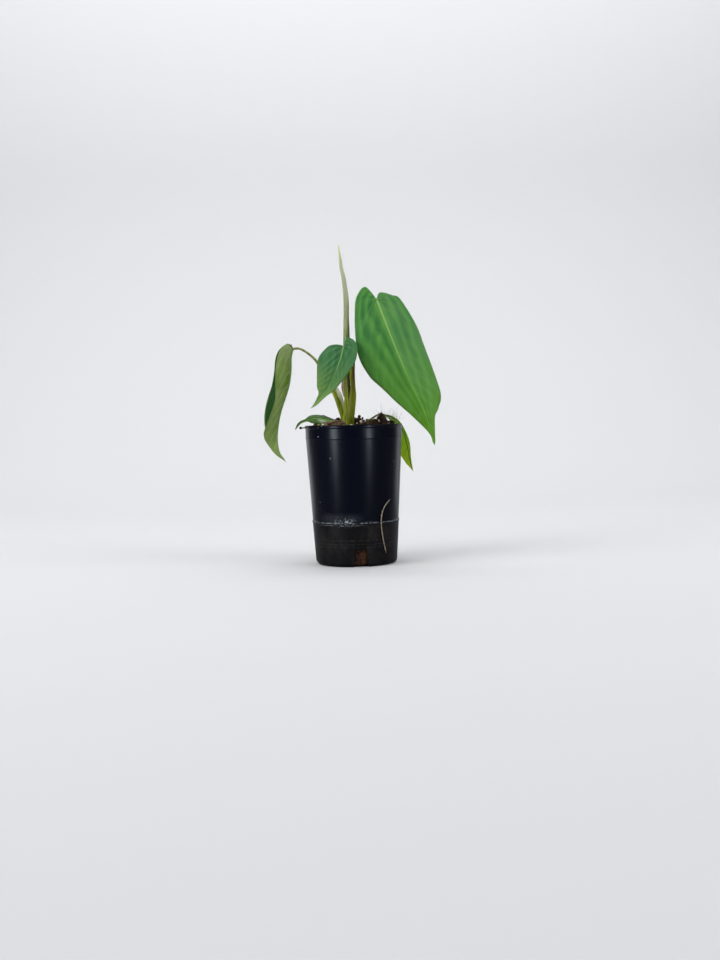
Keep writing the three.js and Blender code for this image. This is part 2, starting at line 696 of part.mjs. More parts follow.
addNode("pot", geometryOf(potSolid()), MATERIAL.pot);
addNode("substrate", geometryOf(soilSolid()), MATERIAL.soil);
addNode("crown", crownGeometry(), MATERIAL.sheath);
addNode("cataphyll", sheathGeometry(), MATERIAL.sheath);
addNode("spear", spearGeometry(), MATERIAL.spear);
addNode("dried_root", driedRootGeometry(), MATERIAL.root);
for (const [name, leaf] of Object.entries(LEAVES)) {
  addNode(name, geometryOf(leafSolid(leaf)), MATERIAL[leaf.colour]);
}

export default part;
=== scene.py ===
# A young philodendron with broad leaves, growing in bark mix in a black plastic nursery pot.
# Lengths are millimetres from the centre of the pot's underside, +Z up and -Y towards the viewer. They
# become metres where a mesh or a light is made. Only the scales of the materials' noise are per metre.
import math

import bmesh
import bpy
import numpy as np
from mathutils import Matrix, Vector


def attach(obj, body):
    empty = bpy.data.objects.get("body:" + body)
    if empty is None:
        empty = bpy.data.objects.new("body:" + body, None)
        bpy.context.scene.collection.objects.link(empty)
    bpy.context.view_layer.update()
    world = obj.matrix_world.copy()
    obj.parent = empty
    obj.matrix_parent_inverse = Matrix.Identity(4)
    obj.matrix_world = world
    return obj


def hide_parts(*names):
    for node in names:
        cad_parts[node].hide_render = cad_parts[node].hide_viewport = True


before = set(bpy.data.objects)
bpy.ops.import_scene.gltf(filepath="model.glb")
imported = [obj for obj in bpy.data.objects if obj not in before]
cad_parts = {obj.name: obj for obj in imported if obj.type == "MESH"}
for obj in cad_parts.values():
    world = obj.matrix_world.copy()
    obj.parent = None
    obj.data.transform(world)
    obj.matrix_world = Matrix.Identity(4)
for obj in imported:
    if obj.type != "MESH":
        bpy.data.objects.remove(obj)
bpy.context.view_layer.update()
MM = 0.001

# Camera: it stands 1.1 m in front of the pot at rim height, looks slightly down and leans a little, as
# the photograph was taken. The focal length is given in pixels of the 720 by 960 picture.
CAMERA_PLACE = Vector((5.2, -1103, 145.8))
CAMERA_PITCH = math.radians(3.27)
CAMERA_ROLL = math.radians(-1.42)
FOCAL_PIXELS = 1100
PICTURE_HEIGHT = 960
SENSOR_HEIGHT = 36

camera = bpy.data.objects.new("camera", bpy.data.cameras.new("camera"))
camera.data.sensor_fit = "VERTICAL"
camera.data.sensor_height = SENSOR_HEIGHT
camera.data.lens = SENSOR_HEIGHT * FOCAL_PIXELS / PICTURE_HEIGHT
aim = Matrix.Rotation(math.pi / 2 - CAMERA_PITCH, 4, "X") @ Matrix.Rotation(CAMERA_ROLL, 4, "Z")
camera.matrix_world = Matrix.Translation(CAMERA_PLACE * MM) @ aim
bpy.context.collection.objects.link(camera)
bpy.context.scene.camera = camera
bpy.context.scene.view_settings.view_transform = "Standard"


# Studio: a pale floor that sweeps up into a pale backdrop, with soft light from above and both sides.
# It isn't part of the plant.
FLOOR_COLOUR = (0.56, 0.565, 0.575, 1)
SWEEP_FRONT = -2500
SWEEP_BACK = 1400
SWEEP_RADIUS = 700
SWEEP_TOP = 3000
SWEEP_HALF_WIDTH = 3000
PLANT_MIDDLE = (0, 0, 150)
STUDIO_LAMPS = (
    # name, place, what it faces, width and height, power
    ("window_left", (-1500, -900, 1300), PLANT_MIDDLE, (1200, 1400), 25),
    ("window_right", (1600, -700, 1000), PLANT_MIDDLE, (900, 1400), 15),
    ("ceiling", (0, -200, 1900), PLANT_MIDDLE, (1800, 1800), 17),
    ("wall_wash", (0, 700, 1900), (0, 1400, 500), (3000, 500), 21),
)
AIR_COLOUR = (0.93, 0.96, 1, 1)
AIR_STRENGTH = 0.3


def add_node(tree, kind, sockets=None, **settings):
    """A shader node with its settings set and its sockets filled, by a value or another node's output."""
    node = tree.nodes.new("ShaderNode" + kind)
    for name, value in settings.items():
        setattr(node, name, value)
    for name, value in (sockets or {}).items():
        if isinstance(value, bpy.types.NodeSocket):
            tree.links.new(value, node.inputs[name])
        else:
            node.inputs[name].default_value = value
    return node


def new_material(name):
    """An empty material: its node tree and the Principled shader that the look is plugged into."""
    material = bpy.data.materials.new(name)
    material.use_nodes = True
    tree = material.node_tree
    return material, tree, tree.nodes["Principled BSDF"]


def plug(tree, shader, **sockets):
    """Fills the shader's sockets; an underscore stands for a space in the socket's name."""
    for name, value in sockets.items():
        socket = shader.inputs[name.replace("_", " ")]
        if isinstance(value, bpy.types.NodeSocket):
            tree.links.new(value, socket)
        else:
            socket.default_value = value


def sweep_object():
    """The floor's profile carried straight along X: flat, then a quarter circle, then upright."""
    bend = np.linspace(0, math.pi / 2, 24)
    bend_start = SWEEP_BACK - SWEEP_RADIUS
    y = np.concatenate([[SWEEP_FRONT], bend_start + SWEEP_RADIUS * np.sin(bend), [SWEEP_BACK]])
    z = np.concatenate([[0], SWEEP_RADIUS - SWEEP_RADIUS * np.cos(bend), [SWEEP_TOP]])
    left = np.stack([np.full_like(y, -SWEEP_HALF_WIDTH), y, z], 1)
    right = left * [-1, 1, 1]
    count = len(y)
    faces = [(i, i + count, i + count + 1, i + 1) for i in range(count - 1)]
    mesh = bpy.data.meshes.new("floor")
    mesh.from_pydata((np.concatenate([left, right]) * MM).tolist(), [], faces)
    mesh.polygons.foreach_set("use_smooth", [True] * len(mesh.polygons))
    return bpy.data.objects.new("floor", mesh)


floor = sweep_object()
bpy.context.collection.objects.link(floor)
floor_material, tree, shader = new_material("floor")
plug(tree, shader, Base_Color=FLOOR_COLOUR, Roughness=0.85, Specular_IOR_Level=0.2)
floor.data.materials.append(floor_material)


def area_light(name, place, target, size, power, colour=(1, 1, 1)):
    """A rectangular light at place that faces target; size is its width and height."""
    light = bpy.data.lights.new(name, "AREA")
    light.shape = "RECTANGLE"
    light.size, light.size_y = (side * MM for side in size)
    light.energy = power
    light.color = colour
    lamp = bpy.data.objects.new(name, light)
    lamp.visible_camera = False
    bpy.context.collection.objects.link(lamp)
    turn = (Vector(target) - Vector(place)).to_track_quat("-Z", "Y")
    lamp.matrix_world = Matrix.Translation(Vector(place) * MM) @ turn.to_matrix().to_4x4()
    return lamp


for lamp in STUDIO_LAMPS:
    area_light(*lamp)
world = bpy.data.worlds.new("studio")
world.use_nodes = True
plug(world.node_tree, world.node_tree.nodes["Background"], Color=AIR_COLOUR, Strength=AIR_STRENGTH)
bpy.context.scene.world = world


# Pot: a round tapered nursery pot, injection moulded in black plastic. It has a proud collar and rim bead,
# a ridge where the wall meets a straight foot, four drainage notches and a moulding nib on the rim.
POT_HEIGHT = 138.5
BEAD_HEIGHT = 3.2
COLLAR_BOTTOM = 125
RIDGE_HEIGHT = 43
RIM_RADIUS = 48.4
BEAD_RADIUS = 48.7
WALL_TOP_RADIUS = 47.9
WALL_FOOT_RADIUS = 43.15
RIDGE_RADIUS = 43.7
SKIRT_TOP_RADIUS = 43.2
SKIRT_FOOT_RADIUS = 40.9
FOOT_CORNER = 4
WALL_THICKNESS = 1.1
POT_FLOOR = 1.6
NOTCH_AZIMUTHS = (7, 97, 187, 277)
NOTCH_FOOT_WIDTH = 15
NOTCH_TOP_WIDTH = 11.2
NOTCH_HEIGHT = 17
NOTCH_ROUNDING = 2.5
NOTCH_DEPTH_RADIUS = 33
NIB_AZIMUTH = 184
NIB_HEIGHT = 136.4
NIB_FOOT = 47.5
NIB_TIP = 54.2
NIB_STALK = 0.6
NIB_BEAD = 1.35
MERGE_GAP = 0.002
END_RING_REACH = 0.7
LIMB_END = 0.3
POT_SIDES = 288
PLASTIC_BLUE = (0.0006, 0.0009, 0.0026, 1)
PLASTIC_DULL = (0.0020, 0.0018, 0.0022, 1)
DUST_BROWN = (0.020, 0.015, 0.012, 1)
LIME_WHITE = (0.42, 0.43, 0.44, 1)
LIME_AZIMUTH = -112
CLUMP_AZIMUTH = -104
LIME_LINE = 43.2
LIME_SECOND_LINE = 41
CLUMP_HEIGHT = 44.5
FILM_HEIGHT = 47
DUST_LINES = (19.3, 22.2, 26.1)
PLASTIC_GLOSS = (0.26, 0.44)


def make_piece(name, grids, materials, replaced=(), values=None, grid_materials=None):
    """A piece made of closed grids and put on the plant's body. A grid holds rings of points, in an array of
    shape (rings, points round a ring, 3). Neighbouring points are joined by faces, each ring closes on
    itself, and points in one place are merged, which closes the ends. values are named numbers for every
    point, and grid_materials gives each grid's material by its place in materials."""
    points, faces, owners, start = [], [], [], 0
    for order, grid in enumerate(grids):
        rings, around = grid.shape[:2]
        here = np.arange(rings * around).reshape(rings, around) + start
        turn = np.roll(here, -1, axis=1)
        faces.append(np.stack([here[:-1], turn[:-1], turn[1:], here[1:]], -1).reshape(-1, 4))
        owners.append(np.full(len(faces[-1]), grid_materials[order] if grid_materials else 0))
        points.append(grid.reshape(-1, 3))
        start += rings * around
    mesh = bpy.data.meshes.new(name)
    mesh.from_pydata((np.concatenate(points) * MM).tolist(), [], np.concatenate(faces).tolist())
    mesh.polygons.foreach_set("material_index", np.concatenate(owners).astype(np.int32))
    mesh.polygons.foreach_set("use_smooth", [True] * len(mesh.polygons))
    for label, arrays in (values or {}).items():
        attribute = mesh.attributes.new(label, "FLOAT", "POINT")
        numbers = np.concatenate([array.ravel() for array in arrays])
        attribute.data.foreach_set("value", numbers.astype(np.float32))
    merged = bmesh.new()
    merged.from_mesh(mesh)
    bmesh.ops.remove_doubles(merged, verts=merged.verts, dist=MERGE_GAP * MM)
    bmesh.ops.recalc_face_normals(merged, faces=merged.faces)
    merged.to_mesh(mesh)
    merged.free()
    for material in materials:
        mesh.materials.append(material)
    piece = bpy.data.objects.new(name, mesh)
    bpy.context.collection.objects.link(piece)
    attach(piece, "root")
    if replaced:
        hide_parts(*replaced)
    return piece


def lathe(profile, sides):
    """The profile of (radius, height) points turned round the Z axis: x = r cos a, y = r sin a."""
    angle = np.linspace(0, 2 * math.pi, sides, endpoint=False)
    radius, height = np.asarray(profile, float).T
    x = radius[:, None] * np.cos(angle)
    y = radius[:, None] * np.sin(angle)
    return np.stack([x, y, np.repeat(height[:, None], sides, 1)], -1)


def with_end_rings(outline, reach):
    """The outline with one more point close to both ends of every long span, so that the bevels beside a
    span don't bend its shading."""
    points = [outline[0]]
    for start, end in zip(outline, outline[1:]):
        share = reach / max(math.dist(start, end), 4 * reach)
        if share < 0.25:
            points.append(tuple(a + (b - a) * share for a, b in zip(start, end)))
            points.append(tuple(b + (a - b) * share for a, b in zip(start, end)))
        points.append(end)
    return points


def pot_profile():
    """The wall's outline, up the outside, over the rim and down the inside to the middle of the floor. Steps
    of some tenths of a millimetre round off its edges."""
    corner = np.radians(np.linspace(0, 90, 8))
    foot_radius = SKIRT_FOOT_RADIUS - FOOT_CORNER * (1 - np.sin(corner))
    foot = np.stack([foot_radius, FOOT_CORNER * (1 - np.cos(corner))], 1)
    bead_bottom = POT_HEIGHT - BEAD_HEIGHT
    outside = [
        (SKIRT_TOP_RADIUS, RIDGE_HEIGHT - 2),
        (SKIRT_TOP_RADIUS + 0.12, RIDGE_HEIGHT - 1.4),
        (RIDGE_RADIUS, RIDGE_HEIGHT - 0.9),
        (RIDGE_RADIUS, RIDGE_HEIGHT + 0.4),
        (WALL_FOOT_RADIUS + 0.15, RIDGE_HEIGHT + 0.9),
        (WALL_FOOT_RADIUS, RIDGE_HEIGHT + 1.5),
        (WALL_TOP_RADIUS, COLLAR_BOTTOM - 0.6),
        (WALL_TOP_RADIUS + 0.02, COLLAR_BOTTOM - 0.35),
        (WALL_TOP_RADIUS + 0.25, COLLAR_BOTTOM),
        (WALL_TOP_RADIUS + 0.27, COLLAR_BOTTOM + 0.3),
        (RIM_RADIUS - 0.2, bead_bottom - 0.3),
        (RIM_RADIUS - 0.17, bead_bottom),
        (BEAD_RADIUS - 0.08, bead_bottom + 0.3),
        (BEAD_RADIUS, bead_bottom + 0.6),
        (BEAD_RADIUS, POT_HEIGHT - 0.7),
        (BEAD_RADIUS - 0.12, POT_HEIGHT - 0.25),
        (RIM_RADIUS - 0.1, POT_HEIGHT),
    ]
    inside = [
        (RIM_RADIUS - WALL_THICKNESS - 0.1, POT_HEIGHT),
        (RIM_RADIUS - WALL_THICKNESS - 0.3, POT_HEIGHT - 0.25),
        (WALL_TOP_RADIUS - WALL_THICKNESS, COLLAR_BOTTOM),
        (WALL_FOOT_RADIUS - WALL_THICKNESS, RIDGE_HEIGHT),
        (SKIRT_FOOT_RADIUS - WALL_THICKNESS - 0.2, FOOT_CORNER),
        (SKIRT_FOOT_RADIUS - FOOT_CORNER, POT_FLOOR),
        (0, POT_FLOOR),
    ]
    return with_end_rings([(0, 0), *foot, *outside, *inside], END_RING_REACH)


def tube(axis, radius, sides):
    """A round limb: at each point of the axis, a circle of that radius square to the axis. Both ends are
    rounded off to a point that stands out by a share of the radius."""
    tangent = np.gradient(axis, axis=0)
    tangent /= np.linalg.norm(tangent, axis=1, keepdims=True)
    reference = np.eye(3)[np.argmin(np.abs(tangent).max(axis=0))]
    out = reference - tangent * (tangent @ reference)[:, None]
    out /= np.linalg.norm(out, axis=1, keepdims=True)
    over = np.cross(tangent, out)
    angle = np.linspace(0, 2 * math.pi, sides, endpoint=False)[None, :, None]
    rings = out[:, None] * np.cos(angle) + over[:, None] * np.sin(angle)
    grid = axis[:, None] + rings * np.reshape(radius, (-1, 1, 1))
    first = np.repeat(axis[:1], sides, 0) - tangent[0] * radius[0] * LIMB_END
    last = np.repeat(axis[-1:], sides, 0) + tangent[-1] * radius[-1] * LIMB_END
    return np.concatenate([first[None], grid, last[None]])


def nib_grid():
    """The nib: a thin stalk that runs out from the bead and swells into a small ball."""
    reach = np.linspace(NIB_FOOT, NIB_TIP, 26)
    turn = math.radians(NIB_AZIMUTH)
    axis = np.stack([reach * math.cos(turn), reach * math.sin(turn), np.full_like(reach, NIB_HEIGHT)], 1)
    from_ball = np.abs(reach - (NIB_TIP - NIB_BEAD))
    radius = np.maximum(NIB_STALK, np.sqrt(np.maximum(NIB_BEAD**2 - from_ball**2, 0)))
    return tube(axis, radius, 14)


def notch_cutter():
    """Four wedges with rounded tops, that cut the drainage notches through the foot of the wall."""
    shape = bmesh.new()
    past_wall, past_foot = 2, 1
    half_foot, half_top = NOTCH_FOOT_WIDTH / 2, NOTCH_TOP_WIDTH / 2
    corner = np.linspace(0, math.pi / 2, 8)
    round_x = half_top - NOTCH_ROUNDING * (1 - np.cos(corner))
    round_z = NOTCH_HEIGHT - NOTCH_ROUNDING * (1 - np.sin(corner))
    right = [(half_foot, -past_foot), *zip(round_x, round_z)]
    outline = right + [(-x, z) for x, z in reversed(right)]
    for azimuth in NOTCH_AZIMUTHS:
        turn = Matrix.Rotation(math.radians(azimuth), 3, "Z")
        rings = [[shape.verts.new(turn @ Vector((x, y, z)) * MM) for x, z in outline]
                 for y in (-NOTCH_DEPTH_RADIUS, -BEAD_RADIUS - past_wall)]
        shape.faces.new(rings[0])
        shape.faces.new(reversed(rings[1]))
        for i in range(len(outline)):
            shape.faces.new((rings[0][i - 1], rings[0][i], rings[1][i], rings[1][i - 1]))
    bmesh.ops.recalc_face_normals(shape, faces=shape.faces)
    mesh = bpy.data.meshes.new("notch_cutter")
    shape.to_mesh(mesh)
    shape.free()
    cutter = bpy.data.objects.new("notch_cutter", mesh)
    bpy.context.collection.objects.link(cutter)
    return cutter


def node_group(name, inputs, outputs):
    """An empty shader group, with its input and output nodes. Each input is a kind and a first value."""
    group = bpy.data.node_groups.new(name, "ShaderNodeTree")
    for label, (kind, value) in inputs.items():
        socket = group.interface.new_socket(label, in_out="INPUT", socket_type="NodeSocket" + kind)
        socket.default_value = value
    for label, kind in outputs.items():
        group.interface.new_socket(label, in_out="OUTPUT", socket_type="NodeSocket" + kind)
    return group, group.nodes.new("NodeGroupInput").outputs, group.nodes.new("NodeGroupOutput").inputs


def calculate(tree, operation, *values):
    """The result of one math operation on the values."""
    return add_node(tree, "Math", dict(enumerate(values)), operation=operation).outputs[0]


def times(tree, *values):
    """The product of the values."""
    product = values[0]
    for value in values[1:]:
        product = calculate(tree, "MULTIPLY", product, value)
    return product


def ramp(tree, value, start, end, low=0, high=1):
    """Runs straight from low, where the value is start, to high, where it is end, and no further."""
    sockets = {"Value": value, "From Min": start, "From Max": end, "To Min": low, "To Max": high}
    return add_node(tree, "MapRange", sockets).outputs[0]


def window(tree, value, middle, half, soft):
    """One near the middle, nothing past half away from it, with a soft edge."""
    away = calculate(tree, "ABSOLUTE", calculate(tree, "SUBTRACT", value, middle))
    return ramp(tree, away, half, half - soft)


def noise(tree, place, scale, detail, roughness=0.5):
    """Cloudy noise round one half; detail is how many finer sizes of it are added."""
    sockets = {"Vector": place, "Scale": scale, "Detail": detail, "Roughness": roughness}
    return add_node(tree, "TexNoise", sockets).outputs[0]


def blend_colour(tree, share, first, second):
    """The first colour turned to the second by the share."""
    return add_node(tree, "Mix", {"Factor": share, 6: first, 7: second}, data_type="RGBA").outputs[2]


def layered(tree, colour, *coats):
    """A colour under coats of other colours. A coat is its share and its colour, and the last is on top."""
    for share, coat in coats:
        colour = blend_colour(tree, share, colour, coat)
    return colour


def bumps(tree, height, strength, depth):
    """The normal tipped by a height map, whose relief is that many millimetres deep."""
    return add_node(tree, "Bump", {"Height": height, "Strength": strength, "Distance": depth * MM}).outputs[0]


def height_of(tree, place):
    """The height of the surface in millimetres."""
    return times(tree, add_node(tree, "SeparateXYZ", {0: place}).outputs["Z"], 1 / MM)


def flecks_group():
    """Flecks: a round spot in the cells of a Voronoi pattern, only in that share of the cells."""
    inputs = {
        "Vector": ("Vector", (0, 0, 0)),
        "Scale": ("Float", 500),
        "Size": ("Float", 0.2),
        "Share": ("Float", 0.3),
    }
    group, given, result = node_group("flecks", inputs, {"Mask": "Float"})
    cells = add_node(group, "TexVoronoi", {"Vector": given["Vector"], "Scale": given["Scale"]})
    number = add_node(group, "SeparateColor", {0: cells.outputs["Color"]}).outputs[0]
    chosen = calculate(group, "LESS_THAN", number, given["Share"])
    core = times(group, given["Size"], 0.5)
    spot = ramp(group, cells.outputs["Distance"], given["Size"], core)
    group.links.new(times(group, spot, chosen), result["Mask"])
    return group


flecks = flecks_group()


def fleck_mask(tree, place, scale, size, share):
    """Where the flecks are."""
    sockets = {"Vector": place, "Scale": scale, "Size": size, "Share": share}
    return add_node(tree, "Group", sockets, node_tree=flecks).outputs["Mask"]


def pot_plastic():
    """Blue-black gloss above the ridge, duller and dusty below it. Hard water has left a broken white line
    along the ridge with a clump at the front left, and dust sits in a few specks and thin level lines."""
    material, tree, shader = new_material("pot_plastic")
    place = add_node(tree, "TexCoord").outputs["Object"]
    height = height_of(tree, place)
    x, y, _ = add_node(tree, "SeparateXYZ", {0: place}).outputs
    azimuth = calculate(tree, "ARCTAN2", y, x)
    below = ramp(tree, height, RIDGE_HEIGHT + 0.6, RIDGE_HEIGHT - 0.6)
    cloud = noise(tree, place, 60, 6, 0.65)
    grit = noise(tree, place, 420, 5, 0.7)

    # Lime: two broken lines, a clump of splashes on them, and a thin film above.
    front_left = window(tree, azimuth, math.radians(LIME_AZIMUTH), 0.62, 0.35)
    line = window(tree, height, LIME_LINE, 0.7, 0.4)
    second_line = times(tree, window(tree, height, LIME_SECOND_LINE, 0.5, 0.3), front_left)
    broken = ramp(tree, grit, 0.44, 0.60)
    lines = times(tree, calculate(tree, "MAXIMUM", line, second_line), broken, 0.2)
    clump = window(tree, azimuth, math.radians(CLUMP_AZIMUTH), 0.3, 0.28)
    splash = times(tree, ramp(tree, grit, 0.50, 0.64), clump, window(tree, height, CLUMP_HEIGHT, 6, 5), 0.4)
    film = times(tree, window(tree, height, FILM_HEIGHT, 7, 5), front_left, cloud, 0.03)
    lime = calculate(tree, "ADD", calculate(tree, "MAXIMUM", lines, splash), film)

    # Dust: a few specks anywhere, and level lines on the skirt.
    marks = times(tree, fleck_mask(tree, place, 260, 0.13, 0.035), 0.6)
    for level in DUST_LINES:
        ring = times(tree, window(tree, height, level, 0.4, 0.2), broken, 0.035)
        marks = calculate(tree, "MAXIMUM", marks, ring)
    lime = calculate(tree, "MAXIMUM", lime, marks)
    dust = times(tree, ramp(tree, cloud, 0.45, 0.75, 0, 0.35), below)

    colour = layered(tree, PLASTIC_BLUE, (below, PLASTIC_DULL), (dust, DUST_BROWN), (lime, LIME_WHITE))
    roughness = calculate(tree, "ADD", ramp(tree, below, 0, 1, *PLASTIC_GLOSS), times(tree, lime, 0.4))
    uneven = calculate(tree, "MULTIPLY_ADD", cloud, 0.1, -0.05)
    roughness = calculate(tree, "ADD", roughness, uneven)
    relief = calculate(tree, "ADD", times(tree, grit, 0.25), lime)
    normal = bumps(tree, relief, 0.12, 0.4)
    plug(tree, shader, Base_Color=colour, Roughness=roughness, Normal=normal, Specular_IOR_Level=0.035)
    return material


pot = make_piece("nursery_pot", [lathe(pot_profile(), POT_SIDES)], [pot_plastic()], ["pot"])
cutter = notch_cutter()
cut = pot.modifiers.new("notches", "BOOLEAN")
cut.operation = "DIFFERENCE"
cut.object = cutter
cut.solver = "EXACT"
bpy.context.view_layer.objects.active = pot
bpy.ops.object.modifier_apply(modifier="notches")
bpy.data.objects.remove(cutter)
nib = make_piece("pot_nib", [nib_grid()], [pot.data.materials[0]])

# Four lamps light the pot alone. The reflections of two low oval ones are the soft streaks that start wide
# on the collar and fade down its face, and two weak tall ones behind it give the pale bands at its edges.
POT_LAMPS = (
    # name, shape, place, width and height, power
    ("streak_left", "ELLIPSE", (-350, -348, 120), (120, 150), 3.2),
    ("streak_right", "ELLIPSE", (283, -406, 126), (90, 150), 2.2),
    ("edge_left", "RECTANGLE", (-340, 370, 110), (230, 300), 0.26),
    ("edge_right", "RECTANGLE", (390, 320, 110), (160, 300), 0.34),
)
POT_LAMP_AIM = (0, 0, 120)
POT_LAMP_BLUE = (0.8, 0.91, 1)
pot_only = bpy.data.collections.new("pot_only")
pot_only.objects.link(pot)
pot_only.objects.link(nib)
for name, shape, place, size, power in POT_LAMPS:
    lamp = area_light(name, place, POT_LAMP_AIM, size, power, POT_LAMP_BLUE)
    lamp.data.shape = shape
    lamp.light_linking.receiver_collection = pot_only


# Potting mix: bark chunks, coir husk and white perlite, filled in loose up to just under the rim. It shows
# from above and, darkly, through the drainage notches.
MIX_TOP = 135
MIX_GAP = 0.42
MIX_SIDES = 200
MIX_RELIEF = (
    # height of the noise, cell, seed
    (0.9, 6, 3),
    (0.7, 2.6, 4),
    (0.35, 1.1, 5),
)
MIX_CHUNKS = (
    # x, y, z, size along x, y and z, turn in degrees
    (30, 4, 141.5, 10.5, 10, 19, 15),
    (25.5, 0, 139, 9, 10, 12, 50),
    (5.6, -7.5, 140.5, 6.5, 6, 15, 20),
    (9.5, -9, 138, 6, 6, 11, 65),
    (21.8, -12, 140.5, 6.5, 6, 6.5, 10),
    (16.5, -16, 138.6, 5, 5, 5, 40),
    (-13.5, -12, 139.8, 10, 5, 5, -8),
    (-20.5, -14, 139, 8, 6, 6.5, 25),
    (-27, -17, 138.4, 8, 5, 6, 60),
    (-36.5, -10, 138.2, 6, 5, 6, 5),
    (36.5, -13, 138.4, 9, 7, 7, 35),
    (-16, 18, 140, 12, 9, 10, 70),
    (2, 26, 139.4, 13, 8, 10, 20),
    (-30, 14, 138.6, 9, 8, 8, 40),
    (17, 33, 138.8, 9, 8, 9, 80),
)


def lattice_noise(points, cell, seed):
    """Smooth noise from -1 to 1: random numbers on a cubic lattice of that cell, blended between corners."""
    table = np.random.default_rng(seed).uniform(-1, 1, (32, 32, 32))
    scaled = np.asarray(points) / cell
    base = np.floor(scaled).astype(int)
    share = scaled - base
    share = share * share * (3 - 2 * share)
    total = np.zeros(scaled.shape[:-1])
    for step in np.ndindex(2, 2, 2):
        corner = (base + step) % 32
        weight = np.prod(np.where(step, share, 1 - share), axis=-1)
        total += table[corner[..., 0], corner[..., 1], corner[..., 2]] * weight
    return total


def bed_grid():
    """The bed: the pot's inside turned as a solid, some tenths of a millimetre clear of its wall, with the
    top raised and sunk by noise of three sizes."""
    clear = WALL_THICKNESS + MIX_GAP
    rim = WALL_TOP_RADIUS - clear
    side = [
        (0, POT_FLOOR + MIX_GAP),
        (SKIRT_FOOT_RADIUS - FOOT_CORNER - MIX_GAP, POT_FLOOR + MIX_GAP),
        (SKIRT_FOOT_RADIUS - clear - 0.4, FOOT_CORNER + MIX_GAP),
        (SKIRT_FOOT_RADIUS - clear - 0.3, 20),
        (WALL_FOOT_RADIUS - clear - 0.2, RIDGE_HEIGHT),
        (rim - 0.4, COLLAR_BOTTOM),
        (rim, MIX_TOP - 2),
    ]
    reach = np.linspace(rim - 1.5, 0, 60)
    top = [(r, MIX_TOP + 1 - r / rim) for r in reach]
    grid = lathe(side + top, MIX_SIDES)
    inner = len(side)
    relief = sum(high * lattice_noise(grid[inner:], cell, seed) for high, cell, seed in MIX_RELIEF)
    relief[-1] = relief[-1].mean()
    grid[inner:, :, 2] += relief
    return grid


def unit(vectors):
    """The vectors at length one."""
    return vectors / np.linalg.norm(vectors, axis=-1, keepdims=True)


def pebble(place, size, turn, seed, rough, rings=9, around=12, taper=0.0, shift=0.0):
    """A broken lump: a ball cut back by flat breaks that face every way, dented by noise and stretched to
    its size. It gets narrower upwards by the taper, and its top is moved along x by a share of its width."""
    polar = np.linspace(0, math.pi, rings)[:, None]
    azimuth = np.linspace(0, 2 * math.pi, around, endpoint=False)[None]
    x, y = np.sin(polar) * np.cos(azimuth), np.sin(polar) * np.sin(azimuth)
    ball = np.stack([x, y, np.broadcast_to(np.cos(polar), x.shape)], -1)
    chance = np.random.default_rng(seed)
    break_count, deepest_break, flattest_angle, longest = 16, 0.72, 0.3, 1.2
    breaks = unit(chance.normal(size=(break_count, 3)))
    depth = chance.uniform(deepest_break, 1, break_count)
    reach = (depth / np.maximum(ball @ breaks.T, flattest_angle)).min(-1)
    coarse, fine = lattice_noise(ball + seed * 3.7, 0.8, 11), lattice_noise(ball + seed * 1.9, 0.3, 12)
    dent = 1 + rough * (coarse + 0.45 * fine)
    shape = ball * (np.minimum(reach, longest) * dent)[..., None]
    shape[..., :2] *= 1 - taper * shape[..., 2:]
    shape[..., 0] += shift * shape[..., 2]
    shape *= np.asarray(size) / 2
    shape[0] = shape[0].mean(0)
    shape[-1] = shape[-1].mean(0)
    tilt = Matrix.Rotation(math.radians(turn), 3, "Z") @ Matrix.Rotation(math.radians(turn / 6), 3, "X")
    return shape @ np.array(tilt).T + np.asarray(place)


def smooth_curve(stations, share, reflected=True):
    """The cubic that passes through evenly spaced stations, each piece leaving along the line between its
    neighbours. Before the first and after the last station the line is reflected, or just repeated."""
    known = np.asarray(stations, float)
    known = known.reshape(len(known), -1)
    before, after = known[0], known[-1]
    if reflected:
        before, after = 2 * known[0] - known[1], 2 * known[-1] - known[-2]
    known = np.vstack([before, known, after])
    spans = len(known) - 3
    x = np.clip(share, 0, 1) * spans
    i = np.minimum(x.astype(int), spans - 1)
    w = (x - i)[..., None]
    a, b, c, d = known[i], known[i + 1], known[i + 2], known[i + 3]
    rise, fall = (c - a) / 2, (d - b) / 2
    return (2 * b - 2 * c + rise + fall) * w**3 + (3 * c - 3 * b - 2 * rise - fall) * w**2 + rise * w + b


def fibre(foot, way, length, curl, radius, steps=8, sides=5, thinning=0.75):
    """A fibre: it leaves its foot along its way and bends off sideways with the square of the distance."""
    share = np.linspace(0, 1, steps)[:, None]
    axis = np.asarray(foot) + length * (share * np.asarray(way) + share**2 * np.asarray(curl))
    return tube(axis, radius * (1 - thinning * share[:, 0]), sides)


def mottle_group():
    """Mottle: a dark and a light colour mixed by noise between two limits, with the noise as height."""
    inputs = {
        "Vector": ("Vector", (0, 0, 0)),
        "Scale": ("Float", 200),
        "Low": ("Float", 0.38),
        "High": ("Float", 0.62),
        "Dark": ("Color", (0, 0, 0, 1)),
        "Light": ("Color", (1, 1, 1, 1)),
    }
    group, given, result = node_group("mottle", inputs, {"Colour": "Color", "Height": "Float"})
    cloud = noise(group, given["Vector"], given["Scale"], 6, 0.65)
    share = ramp(group, cloud, given["Low"], given["High"])
    group.links.new(blend_colour(group, share, given["Dark"], given["Light"]), result["Colour"])
    group.links.new(cloud, result["Height"])
    return group


mottle = mottle_group()


def mottled(tree, place, scale, dark, light):
    """The colour and the height of the two colours mottled together."""
    sockets = {"Vector": place, "Scale": scale, "Dark": dark, "Light": light}
    return add_node(tree, "Group", sockets, node_tree=mottle).outputs


def stretched(tree, place, scale):
    """The place with its grain drawn out along an axis where the scale is under one."""
    return add_node(tree, "Mapping", {"Vector": place, "Scale": scale}).outputs[0]


